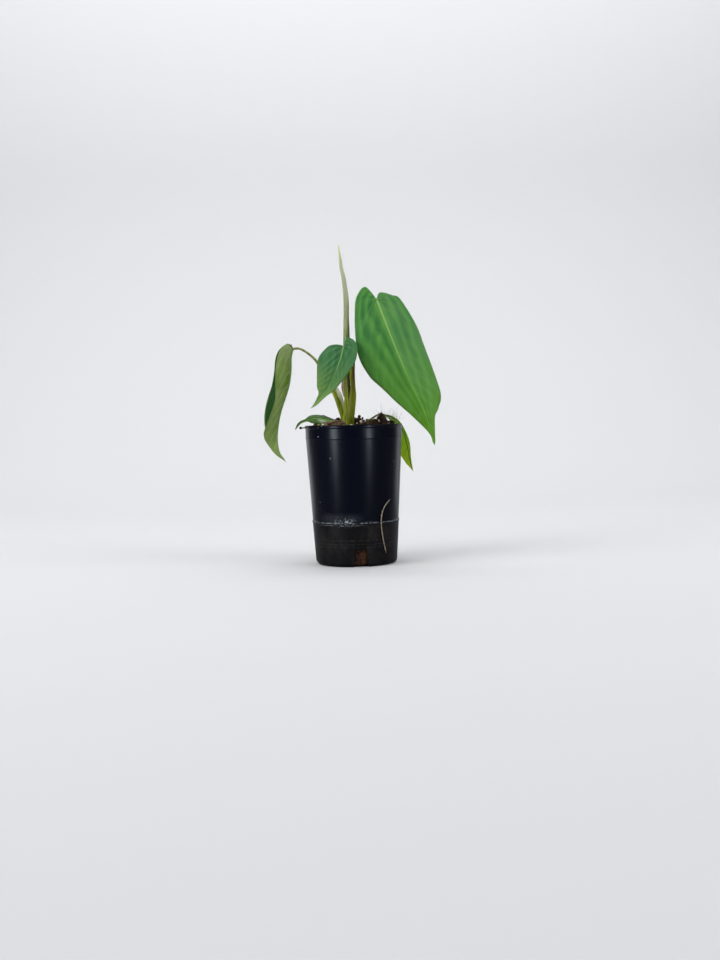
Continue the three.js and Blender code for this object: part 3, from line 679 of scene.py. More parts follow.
def mottled_material(name, scale, dark, light, fleck, roughness, relief, stretch=(1, 1, 1), fleck_share=0.3):
    """Two colours mottled together, with lighter flecks, and a relief in millimetres that follows them."""
    material, tree, shader = new_material(name)
    grain = stretched(tree, add_node(tree, "TexCoord").outputs["Object"], stretch)
    base, height = mottled(tree, grain, scale, dark, light)
    colour = layered(tree, base, (fleck_mask(tree, grain, 2.2 * scale, 0.22, fleck_share), fleck))
    normal = bumps(tree, height, 0.8, relief)
    plug(tree, shader, Base_Color=colour, Roughness=roughness, Normal=normal, Specular_IOR_Level=0.25)
    return material


coir_red = mottled_material(
    "coir_and_soil", 210, (0.008, 0.0035, 0.002, 1), (0.085, 0.033, 0.014, 1), (0.20, 0.13, 0.07, 1), 0.9, 1.2
)
bark_brown = mottled_material(
    "bark", 190, (0.006, 0.0025, 0.002, 1), (0.052, 0.020, 0.011, 1), (0.26, 0.18, 0.11, 1), 0.9, 1.4,
    fleck_share=0.12,
)
husk_tan = mottled_material(
    "husk", 230, (0.07, 0.040, 0.018, 1), (0.36, 0.23, 0.11, 1), (0.56, 0.44, 0.27, 1), 0.85, 0.8, (1, 1, 0.3)
)
perlite_white = mottled_material(
    "perlite", 300, (0.42, 0.36, 0.26, 1), (0.80, 0.77, 0.68, 1), (0.9, 0.88, 0.82, 1), 0.8, 0.6
)
moss_green = mottled_material(
    "moss", 320, (0.035, 0.055, 0.008, 1), (0.16, 0.21, 0.035, 1), (0.30, 0.32, 0.10, 1), 0.95, 1.2
)
fibre_brown = mottled_material(
    "coir_fibre", 400, (0.07, 0.04, 0.025, 1), (0.24, 0.17, 0.11, 1), (0.35, 0.28, 0.2, 1), 0.8, 0.2
)
mix_materials = [bark_brown, husk_tan, perlite_white, moss_green]
BARK, HUSK, PERLITE, MOSS = range(4)
make_piece("mix_bed", [bed_grid()], [coir_red], ["substrate"])

# The first chunk is the tall one at the right, a leaning cone. Three of the others are pale husk.
TALL_CHUNK_TAPER = (0.4, -0.3)
CHUNK_TAPER = (0.15, 0)
CHUNK_ROUGHNESS = 0.2
HUSK_CHUNKS = (6, 7, 8)
chunks = []
for order, (x, y, z, *size, turn) in enumerate(MIX_CHUNKS):
    taper, shift = TALL_CHUNK_TAPER if order == 0 else CHUNK_TAPER
    chunks.append(pebble((x, y, z), size, turn, order, CHUNK_ROUGHNESS, 33, 44, taper, shift))
make_piece("bark_chunks", chunks, [bark_brown, husk_tan], ["substrate"],
           grid_materials=[HUSK if order in HUSK_CHUNKS else BARK for order in range(len(chunks))])

# Small bits: those that show over the rim are listed one by one, and the rest are strewn by chance.
BIT_ROUGHNESS = 0.3
FIRST_BIT_SEED = 20
LITTER_ROUGHNESS = 0.32
FIRST_LITTER_SEED = 60
LITTER_COUNT = 330
LITTER_REACH = 43.5
LITTER_SIZES = (2.2, 6.6)
LITTER_FORMS = ((0.8, 0.5, 0.35), (1.2, 0.9, 0.7))
LITTER_RISE = 2.2
LITTER_KINDS = (0.68, 0.2, 0.06, 0.06)
MIX_BITS = (
    # kind, x, y, z, size along x, y and z, turn in degrees
    (PERLITE, 20.5, -6, 141.8, 4.6, 3.5, 4.2, 20),
    (PERLITE, 24.6, -8, 140.6, 3.4, 3, 3.4, 70),
    (PERLITE, 23, -2, 142.6, 2.8, 2.6, 2.4, 40),
    (PERLITE, 7.6, -12.5, 141.2, 2.2, 2, 2.4, 10),
    (PERLITE, 3.8, -11.8, 139.6, 1.8, 1.6, 1.8, 60),
    (PERLITE, -30, -22, 139.4, 2.6, 2.2, 2, 30),
    (PERLITE, -2, -28, 138.2, 3, 2.4, 2.2, 80),
    (PERLITE, 14, 20, 139.5, 3.6, 3, 3, 45),
    (PERLITE, -22, 26, 138.4, 3.4, 3, 2.6, 15),
    (MOSS, 12.2, -9, 140.2, 4.2, 3.4, 3, 35),
    (MOSS, 16, -8, 141.4, 3.8, 3, 3.6, 75),
    (MOSS, 14.2, -3, 142.6, 3.2, 3, 3, 5),
    (MOSS, -34, -16, 139, 3.6, 3, 2.4, 55),
    (MOSS, 10, 30, 138.4, 5, 4, 3, 25),
    (HUSK, -17.8, -13, 141.8, 4.4, 2.6, 2.2, 160),
    (HUSK, -9.6, -14, 141.4, 4.8, 2.4, 2.6, 172),
    (HUSK, -24.6, -15, 140.2, 4, 2.6, 2.2, 12),
    (BARK, 6.2, -8.5, 146.4, 3.4, 3, 3.2, 50),
    (BARK, 3.6, -9, 143, 3, 2.8, 4, 20),
    (BARK, 9, -7.5, 144.4, 2.6, 2.4, 2.8, 80),
)
draw = np.random.default_rng(7)
litter, litter_kinds = [], []
for order, (kind, x, y, z, *size, turn) in enumerate(MIX_BITS):
    litter.append(pebble((x, y, z), size, turn, order + FIRST_BIT_SEED, BIT_ROUGHNESS, 13, 16))
    litter_kinds.append(kind)
for order in range(LITTER_COUNT):
    reach = LITTER_REACH * math.sqrt(draw.uniform())
    angle = draw.uniform(0, 2 * math.pi)
    size = draw.uniform(*LITTER_SIZES) * draw.uniform(*LITTER_FORMS)
    place = (reach * math.cos(angle), reach * math.sin(angle), MIX_TOP + draw.uniform(0, LITTER_RISE))
    turn = draw.uniform(0, 180)
    litter.append(pebble(place, size, turn, order + FIRST_LITTER_SEED, LITTER_ROUGHNESS, 7, 10))
    litter_kinds.append(int(draw.choice(4, p=LITTER_KINDS)))
make_piece("mix_litter", litter, mix_materials, ["substrate"], grid_materials=litter_kinds)

# Coir fibres stand out of the mix, thickest over the tall bark chunk at the right. Slivers of husk, a dry
# twig and the longest single fibres are listed one by one.
FIBRE_COUNT = 260
FIBRE_RADIUS = 0.075
FIBRE_REACH = 42
FIBRE_FOOT = MIX_TOP + 0.5
FIBRE_LENGTHS = (4, 8)
RIGHT_FIBRE_LENGTHS = (4, 13)
RIGHT_FIBRE_FEET = ((22, 44), (-16, 22), (137, 146))
RIGHT_FIBRE_LEAN = 0.25
FIBRE_SPREAD = 0.5
FIBRE_CURL = 0.3
FIBRE_UPWARDS = 0.75
SLIVER_UNEVENNESS = 0.3
SLIVERS = (
    # radius, then the points that a twig, a sliver of husk or a fibre runs through
    (0.34, (-30, -16, 148.8), (-24, -15.5, 146.2), (-16, -15, 142.8), (-8, -14.5, 139.6)),
    (0.75, (-27, -18, 139.6), (-21, -18, 141.4), (-15, -17, 142.6), (-10, -16, 142)),
    (0.6, (-20, -20, 138.8), (-15, -19.5, 140.4), (-9, -19, 141)),
    (0.5, (-32, -15, 140.2), (-27, -16, 141.6), (-22, -17, 141.2)),
    (0.5, (6, -16, 138.6), (10, -17, 140.6), (15, -17, 141.8)),
    (0.6, (34, -18, 138.4), (38, -12, 140.6), (41, -6, 140.4)),
    (0.7, (-8, 24, 139), (-16, 27, 141.5), (-24, 27, 141)),
    (0.6, (12, 30, 139), (20, 26, 142), (28, 20, 142.4)),
    (0.08, (27, 2, 149), (28.4, 1, 153), (27.6, 0, 156), (28.8, 0, 160)),
    (0.06, (25, 1, 147), (24.6, 0, 151), (22.2, -1, 153)),
    (0.08, (41, -6, 138), (45, -7, 141), (46, -8, 145), (49, -8, 150)),
    (0.07, (40, -4, 139), (45, -5, 143.2), (51, -6, 144.6)),
    (0.07, (38, -8, 138), (41, -9, 143), (40.6, -10, 148)),
)
fibres = []
for order in range(FIBRE_COUNT):
    on_right = order % 2 == 0
    if on_right:
        foot = [draw.uniform(*span) for span in RIGHT_FIBRE_FEET]
    else:
        reach = FIBRE_REACH * math.sqrt(draw.uniform())
        angle = draw.uniform(0, 2 * math.pi)
        foot = (reach * math.cos(angle), reach * math.sin(angle), FIBRE_FOOT)
    way = draw.normal(0, FIBRE_SPREAD, 3) + (RIGHT_FIBRE_LEAN if on_right else 0, 0, FIBRE_UPWARDS)
    length = draw.uniform(*(RIGHT_FIBRE_LENGTHS if on_right else FIBRE_LENGTHS))
    fibres.append(fibre(foot, unit(way), length, draw.normal(0, FIBRE_CURL, 3), FIBRE_RADIUS))
for radius, *route in SLIVERS:
    axis = smooth_curve(route, np.linspace(0, 1, 40))
    fibres.append(tube(axis, radius * (1 + SLIVER_UNEVENNESS * lattice_noise(axis, 1.5, 31)), 8))
make_piece("coir_fibres", fibres, [fibre_brown])


# Crown: the short buried stem that every petiole grows from. Its solid keeps its own shape and gets a
# green skin with brown leaf scars.
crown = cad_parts["crown"]
crown_skin = mottled_material(
    "crown_skin", 260, (0.10, 0.13, 0.03, 1), (0.24, 0.25, 0.09, 1), (0.10, 0.06, 0.03, 1), 0.6, 0.4
)
crown.data.materials.clear()
crown.data.materials.append(crown_skin)


# Leaves: each grew as one piece, a round petiole that runs on as the midrib under a thin satin blade. The
# blade's outline, fold and droop are the leaf's own. The lateral veins leave the midrib at half a right
# angle, then sweep round towards the tip, and the blade is softly puckered between them.

# What the table says of a leaf. petiole: x and y of its foot, then the points that it runs through.
# petiole_radius: at the foot and at the leaf. midrib: points from the leaf base to the tip. facing: the way
# the upper face looks, from base to tip. width: the wider half. fold: how far each half is folded up along
# the midrib, in degrees from base to tip. bend: how far each half turns up on its way to the margin. wave:
# the height of the margin's slow wave. veins, lobe_veins: the lateral veins along the midrib and round the
# lobe. outlines: the margin of each half, as shares of the width and of the length.
LEAVES = {
    "leaf_large": {
        "petiole": ((-3.5, 1.2), (-3.1, 1.6, 141), (0, 3.5, 168), (-0.9, 4.7, 187), (0, 5.2, 201),
                    (6.1, 4.4, 222), (15.2, -1, 243)),
        "petiole_radius": (2, 1.4),
        "midrib": ((25.9, -13, 261.3), (35.8, -21, 232.6), (46.4, -26, 203.8), (57.7, -29, 176.3),
                   (69.6, -30, 149.2), (78.8, -28, 116.8)),
        "facing": ((0.26, -0.9, 0.34), (0.22, -0.95, 0.21), (0, -1, 0.03)),
        "width": 38,
        "fold": ((-16, -16, -16), (-16, -16, -16)),
        "bend": (-12, -12),
        "wave": 0.7,
        "veins": 8,
        "lobe_veins": 4,
        "outlines": (
            ((0.15, -0.1), (0.38, -0.08), (0.6, 0), (0.95, 0.265), (0.91, 0.43), (0.72, 0.545),
             (0.325, 0.785), (0.05, 0.92), (0.02, 0.98)),
            ((0.2, -0.045), (0.59, -0.02), (0.82, 0.01), (1.03, 0.2), (0.99, 0.37), (0.735, 0.695),
             (0.44, 0.79), (0.23, 0.84), (0.05, 0.98)),
        ),
    },
    "leaf_small": {
        "petiole": ((-6.8, -7.4), (-6.7, -7.8, 141), (-6.4, -9.5, 166), (-6.9, -12.9, 191),
                    (-7.3, -16.5, 209)),
        "petiole_radius": (2.7, 1),
        "midrib": ((-7.7, -18, 215.4), (-10.8, -24, 203.4), (-15.8, -29, 190.7), (-23, -32, 177.2),
                   (-31.1, -33, 166.7), (-41.2, -32, 155.1)),
        "facing": ((-0.34, -0.69, 0.64), (-0.38, -0.86, 0.34), (-0.24, -0.97, 0.09)),
        "width": 21,
        "fold": ((14, 14, 14), (18, 18, 18)),
        "bend": (-4, -4),
        "wave": 0.4,
        "veins": 7,
        "lobe_veins": 3,
        "outlines": (
            ((0.08, -0.016), (0.46, -0.02), (0.8, 0.03), (1.03, 0.19), (0.97, 0.395), (0.49, 0.685),
             (0.17, 0.77), (0.05, 0.88), (0.01, 0.965)),
            ((0.03, -0.128), (0.41, -0.1), (0.78, 0), (1.02, 0.18), (0.97, 0.305), (0.515, 0.615),
             (0.28, 0.735), (0.145, 0.905), (0.04, 0.975)),
        ),
    },
    "leaf_left": {
        "petiole": ((-9.8, 12.5), (-9.8, 12.5, 142), (-13.2, 11, 155), (-18.2, 10.2, 169.5),
                    (-27, 11.5, 187.6), (-35.4, 14.5, 202.6), (-43.5, 17.5, 210.9), (-52.5, 19.2, 216.5)),
        "petiole_radius": (2.9, 1.05),
        "midrib": ((-60.2, 20, 217), (-62.5, 18.5, 207.4), (-62.8, 17, 195.2), (-65, 15.5, 180.1),
                   (-69.1, 14, 167), (-73.9, 13, 153), (-76.8, 12, 139), (-78, 12, 125),
                   (-75.9, 13, 111.5), (-69.2, 16, 101.4)),
        "facing": ((-0.98, 0.17, 0.2), (-0.98, 0.19, 0.05), (-0.94, 0.34, 0)),
        "width": 26,
        "fold": ((54, 52, 59, 66, 49), (24, 32, 27, 14, 27, 82, 60)),
        "bend": (2, -21),
        "wave": 0,
        "veins": 8,
        "lobe_veins": 3,
        "outlines": (
            ((0.12, -0.03), (0.42, -0.04), (0.78, 0.02), (0.97, 0.16), (1, 0.33), (0.86, 0.54),
             (0.6, 0.72), (0.26, 0.86), (0.07, 0.94)),
            ((0.12, -0.01), (0.42, -0.01), (0.78, 0.045), (0.97, 0.16), (1, 0.33), (0.86, 0.54),
             (0.6, 0.72), (0.26, 0.86), (0.07, 0.94)),
        ),
    },
    "leaf_low_left": {
        "petiole": ((-13.9, -3.2), (-14.5, -3.2, 138.5)),
        "petiole_radius": (1.1, 0.8),
        "midrib": ((-20.8, -2, 142), (-30.5, -1, 144.8), (-39.5, 0, 145.8), (-47.1, 1, 144),
                   (-53.6, 2, 141.4), (-58.9, 2, 134.5)),
        "facing": ((0, -0.25, 0.97), (-0.1, -0.3, 0.95), (-0.68, -0.29, 0.68)),
        "width": 10.5,
        "fold": ((10, 14, 30), (-6, -6, -6)),
        "bend": (-20, -30),
        "wave": 0,
        "veins": 5,
        "lobe_veins": 2,
        "outlines": (
            ((0.15, -0.07), (0.55, -0.05), (0.9, 0.12), (1.05, 0.34), (0.8, 0.54), (0.26, 0.66),
             (0.2, 0.76), (0.18, 0.87)),
            ((0.15, -0.07), (0.55, -0.05), (0.95, 0.12), (1, 0.3), (0.75, 0.5), (0.3, 0.62),
             (0.26, 0.74), (0.2, 0.87)),
        ),
    },
    "leaf_low_right": {
        "petiole": ((0.7, 12.8), (1.7, 12.6, 137), (11.1, 14, 140.8), (16.5, 15.5, 143),
                    (20.7, 17, 145.3), (25, 18.8, 147.6)),
        "petiole_radius": (1.2, 0.9),
        "midrib": ((31.3, 22, 148), (39.6, 26, 145.4), (46.8, 30, 139.3), (52.3, 33, 127.3),
                   (55.6, 34, 113.8), (57.4, 33, 101.3), (60.2, 31, 88.5)),
        "facing": ((0.3, 0.15, 0.94), (0.78, 0.5, 0.38), (0.84, 0.54, 0)),
        "width": 12,
        "fold": ((4, 0, -10, -16, -16), (4, 0, -10, -16, -16)),
        "bend": (-5, -5),
        "wave": 0,
        "veins": 6,
        "lobe_veins": 2,
        "outlines": (
            ((0.1, -0.03), (0.18, 0.08), (0.25, 0.27), (0.42, 0.43), (0.68, 0.57), (0.58, 0.7),
             (0.3, 0.84), (0.1, 0.95)),
            ((0.15, -0.05), (0.55, -0.05), (0.9, 0.08), (1, 0.28), (1.1, 0.48), (1.05, 0.68),
             (0.6, 0.84), (0.2, 0.94)),
        ),
    },
}
PETIOLE_FOOT = 125
PETIOLE_TAPER = 1.2
BLADE_THICKNESS = 0.45
MARGIN_ROUNDING = 0.5
VEIN_LEAN = 2.0
VEIN_BOW = 0.12
PUCKER = 0.5
PUCKER_FROM_RIB = 4
PUCKER_FROM_MARGIN = 12
PUCKER_FULL_REACH = 30
GROOVE_DEPTH = 0.3
GROOVE_WIDTH = 0.9
GROOVE_FULL_REACH = 6
RIB_SHARE = 0.95
RIB_TIP_RADIUS = 0.3
RIB_END = 0.97
RIB_TOP = 0.3
RIB_TOP_FALL = 2.6
RIB_TOP_LOWEST = -0.15
KNEE_SWELL = 0.25
KNEE_PLACE = 0.98
KNEE_LENGTH = 0.02


def walk(stations, share):
    """Points and directions at shares of the curve's length, and that length."""
    fine = np.linspace(0, 1, 800)
    line = smooth_curve(stations, fine)
    reach = np.concatenate([[0], np.cumsum(np.linalg.norm(np.diff(line, axis=0), axis=1))])
    at = np.interp(np.clip(share, 0, 1) * reach[-1], reach, fine)
    step = 0.002
    ahead = smooth_curve(stations, np.minimum(at + step, 1))
    behind = smooth_curve(stations, np.maximum(at - step, 0))
    return smooth_curve(stations, at), unit(ahead - behind), reach[-1]


def ridge(leaf, v):
    """The midrib at distance v from the leaf base: point, direction of the upper face, tangent, share of
    the length and the length. Before the base it runs straight on."""
    length = walk(leaf["midrib"], np.zeros(1))[2]
    share = np.clip(v / length, 0, 1)
    point, tangent, length = walk(leaf["midrib"], share)
    normal = smooth_curve(leaf["facing"], share)
    normal = unit(normal - tangent * (normal * tangent).sum(-1, keepdims=True))
    return point + tangent * np.minimum(v, 0)[..., None], normal, tangent, share, length


def lay_flat_point(leaf, half, u, v):
    """Where the flat leaf point (u from the midrib, v along it) lies: out from the midrib along an arc that
    starts at the fold and turns evenly by the bend, with a slow wave that grows towards the margin."""
    side = (-1, 1)[half]
    point, normal, tangent, share, _ = ridge(leaf, v)
    across = np.cross(normal, tangent) * side
    fold = np.radians(smooth_curve(leaf["fold"][half], share, reflected=False)[..., 0])
    turn = math.radians(leaf["bend"][half]) / leaf["width"]
    end = fold + turn * u
    outwards = (np.sin(end) - np.sin(fold)) / turn
    waving = leaf["wave"] * np.sin(4 * math.pi * share + side) * (u / leaf["width"]) ** 2
    upwards = (np.cos(fold) - np.cos(end)) / turn + waving
    point = point + across * outwards[..., None] + normal * upwards[..., None]
    return point, normal * np.cos(end)[..., None] - across * np.sin(end)[..., None]


def margin_rows(leaf, half, length, feet, fan):
    """The margin point of every row of one half. The first rows fan out from the leaf base round the lobe;
    each later row starts at its own foot on the midrib and leans forward as a lateral vein does."""
    stations = ((0, 0), *leaf["outlines"][half], (0, 1))
    share = np.linspace(0, 1, 3000)
    scale = (leaf["width"], length)
    outline = smooth_curve(stations, share, reflected=False) * scale
    foot_of = outline[:, 1] - VEIN_LEAN * outline[:, 0]
    lowest_from_tip = np.minimum.accumulate(foot_of[::-1])[::-1]
    last_below = np.searchsorted(lowest_from_tip, feet, side="right") - 1
    later = share[np.clip(last_below, 0, None)]
    at = np.concatenate([later[0] * np.linspace(0, 1, fan, endpoint=False), later])
    return smooth_curve(stations, at, reflected=False) * scale


def rounding(distance, radius):
    """The height of a quarter circle's arc at a distance from its foot, from 0 at the foot to 1."""
    return np.sqrt(1 - (1 - np.clip(distance / radius, 0, 1)) ** 2)


def blade_grid(leaf, fan=60, rows=150, columns=22):
    """The blade as rings: each goes over the upper face from the left margin to the right one and back over
    the lower face. Upper and lower face lie half the thickness off the middle sheet and meet in a round
    margin. Also gives each point's row number in veins, its signed share across, its share of the midrib's
    length, its distance from the midrib and which face it is on."""
    length = ridge(leaf, np.zeros(1))[4]
    feet = length * np.linspace(0, 1, rows)
    row_feet = np.concatenate([np.zeros(fan), feet])
    fan_share = np.linspace(0, 1, fan, endpoint=False)
    vein = np.concatenate([leaf["lobe_veins"] * (fan_share - 1), leaf["veins"] * feet / length])
    bow_share = np.concatenate([fan_share**1.5, 1 - (feet / length) ** 2])
    b = np.linspace(0, 1, columns + 1) ** 1.3
    halves = []
    for half in (0, 1):
        edge = margin_rows(leaf, half, length, feet, fan)
        reach = np.hypot(edge[:, 0], edge[:, 1] - row_feet)[:, None]
        bow = 4 * VEIN_BOW * reach * bow_share[:, None]
        u = edge[:, :1] * b
        v = row_feet[:, None] + (edge[:, 1:] - row_feet[:, None]) * b - bow * b * (1 - b)
        point, normal = lay_flat_point(leaf, half, u, v)
        to_margin = np.maximum(reach * (1 - b), 0)
        groove = GROOVE_DEPTH * np.exp(-((u / GROOVE_WIDTH) ** 2)) * np.clip(reach / GROOVE_FULL_REACH, 0, 1)
        swell = 0.5 - 0.5 * np.cos(2 * math.pi * vein)[:, None]
        fade = np.clip(u / PUCKER_FROM_RIB, 0, 1) * np.clip(to_margin / PUCKER_FROM_MARGIN, 0, 1)
        relief = PUCKER * swell**0.7 * fade * np.clip(reach / PUCKER_FULL_REACH, 0, 1)
        half_thick = BLADE_THICKNESS / 2 * rounding(to_margin, MARGIN_ROUNDING)
        upper = point + normal * (relief - groove + half_thick)[..., None]
        lower = point + normal * (relief - half_thick)[..., None]
        halves.append((upper, lower, u, np.clip(v / length, 0, 1)))
    left, right = halves

    def round_ring(left_upper, right_upper, right_lower, left_lower):
        parts = [left_upper[:, ::-1], right_upper[:, 1:], right_lower[:, -2::-1], left_lower[:, 1:-1]]
        return np.concatenate(parts, axis=1)

    ring = round_ring(left[0], right[0], right[1], left[1])
    signed = round_ring(-b[None], b[None], b[None], -b[None])
    under = np.concatenate([np.zeros(2 * columns + 1), np.ones(2 * columns - 1)])
    under[[0, 2 * columns]] = 0.5
    shape = ring.shape[:2]
    return ring, {
        "vein": np.broadcast_to(vein[:, None], shape),
        "across": np.broadcast_to(signed, shape),
        "along": round_ring(left[3], right[3], right[3], left[3]),
        "midrib": round_ring(left[2], right[2], right[2], left[2]),
        "under": np.broadcast_to(under, shape),
    }


def petiole_stations(leaf):
    """The petiole's route from its foot in the mix to the underside of the leaf base."""
    foot, *rest = leaf["petiole"]
    base, normal = (array[0] for array in ridge(leaf, np.zeros(1))[:2])
    return [(*foot, PETIOLE_FOOT), *rest, tuple(base + normal * (RIB_TOP - leaf["petiole_radius"][1]))]


def petiole_grid(leaf, steps=150, sides=24):
    """Petiole and midrib as one limb: from the foot in the mix to the leaf base, then on under the blade,
    getting thinner all the way but for a small swelling just before the blade starts. The rib sinks out of
    the upper face by mid leaf. Along is 0 at the foot, 1 at the leaf base and up to 2 at the tip."""
    thick, thin = leaf["petiole_radius"]
    share = np.linspace(0, 1, steps)
    stalk = walk(petiole_stations(leaf), share)[0]
    knee = KNEE_SWELL * np.exp(-(((share - KNEE_PLACE) / KNEE_LENGTH) ** 2))
    stalk_radius = thin + (thick - thin) * (1 - share) ** PETIOLE_TAPER + knee
    length = ridge(leaf, np.zeros(1))[4]
    rib_share = np.linspace(0, RIB_END, steps)[4:]
    point, normal = ridge(leaf, rib_share * length)[:2]
    rib_radius = thin * RIB_SHARE + (RIB_TIP_RADIUS - thin * RIB_SHARE) * rib_share
    rib_top = np.maximum(RIB_TOP * (1 - RIB_TOP_FALL * rib_share), RIB_TOP_LOWEST)
    rib = point + normal * (rib_top - rib_radius)[:, None]
    limb = tube(np.concatenate([stalk, rib]), np.concatenate([stalk_radius, rib_radius]), sides)
    along = np.concatenate([[0], share, 1 + rib_share, [2]])
    return limb, np.broadcast_to(along[:, None], limb.shape[:2])


# Each blade's colours: the upper face from base to tip with its dark bands, paler patches and a painted
# sheen, the midrib, and the lower face from base to tip with greener clouds and a lighter tip that are a
# painted glow of light coming through. rib_end is how much of the midrib's colour is left past mid leaf,
# and one blade has a whitish spot, a painted highlight, given by its middle and half length. The low leaf
# at the right is the one blade that lets light through.
LEAF_LOOKS = {
    "leaf_large": {
        "base": (0.041, 0.176, 0.041), "tip": (0.092, 0.252, 0.001), "band": (0.018, 0.100, 0.022),
        "patch": (0.118, 0.325, 0.056), "painted_sheen": (0.066, 0.196, 0.060), "rib": (0.24, 0.42, 0.12),
        "lower": (0.14, 0.26, 0.06), "painted_glow_tip": (0.16, 0.30, 0.05), "painted_glow": (0.10, 0.24, 0.015),
        "rib_end": 0.3,
    },
    "leaf_small": {
        "base": (0.027, 0.118, 0.035), "tip": (0.22, 0.35, 0.07), "band": (0.016, 0.080, 0.022),
        "patch": (0.056, 0.175, 0.060), "painted_sheen": (0.050, 0.142, 0.046), "rib": (0.10, 0.23, 0.085),
        "lower": (0.14, 0.26, 0.08), "painted_glow_tip": (0.18, 0.30, 0.08), "painted_glow": (0.10, 0.22, 0.04),
        "rib_end": 0.12,
    },
    "leaf_left": {
        # Its upper face, turned into its fold, is painted nearly black-green: painted shade.
        "base": (0.004, 0.040, 0.001), "tip": (0.010, 0.060, 0.001), "band": (0.003, 0.028, 0.001),
        "patch": (0.007, 0.055, 0.001), "painted_sheen": (0.006, 0.045, 0.001), "rib": (0.40, 0.50, 0.23),
        "lower": (0.228, 0.350, 0.086), "painted_glow_tip": (0.28, 0.39, 0.12), "painted_glow": (0.110, 0.210, 0.010),
        "rib_end": 0.3,
    },
    "leaf_low_left": {
        "base": (0.016, 0.078, 0.001), "tip": (0.080, 0.130, 0.030), "band": (0.006, 0.036, 0.001),
        "patch": (0.045, 0.130, 0.004), "painted_sheen": (0.020, 0.085, 0.002), "rib": (0.10, 0.18, 0.02),
        "lower": (0.14, 0.23, 0.05), "painted_glow_tip": (0.16, 0.25, 0.06), "painted_glow": (0.09, 0.18, 0.015),
        "rib_end": 0.1, "lens": (0.2, 0.17),
    },
    "leaf_low_right": {
        # Its lower face is painted far brighter than the others, brightest towards the tip: a painted glow of
        # the light that comes through it.
        "base": (0.050, 0.125, 0.003), "tip": (0.130, 0.235, 0.015), "band": (0.030, 0.080, 0.002),
        "patch": (0.150, 0.270, 0.020), "painted_sheen": (0.060, 0.150, 0.004), "rib": (0.24, 0.34, 0.06),
        "lower": (0.40, 0.60, 0.010), "painted_glow_tip": (0.80, 0.96, 0.10), "painted_glow": (0.14, 0.23, 0.002),
        "rib_end": 0.3, "lets_light_through": True,
    },
}
PAINTED_HIGHLIGHT_WHITE = (0.36, 0.42, 0.28, 1)
BLADE_COLOURS = ("base", "tip", "band", "patch", "painted_sheen", "rib", "lower", "painted_glow_tip", "painted_glow")


def read_value(tree, name):
    """The number that every point of the mesh holds under that name."""
    return add_node(tree, "Attribute", attribute_name=name).outputs["Fac"]


def plane(tree, x, y):
    """The point x, y, for a pattern that is laid out flat on the surface."""
    return add_node(tree, "CombineXYZ", {"X": x, "Y": y}).outputs[0]


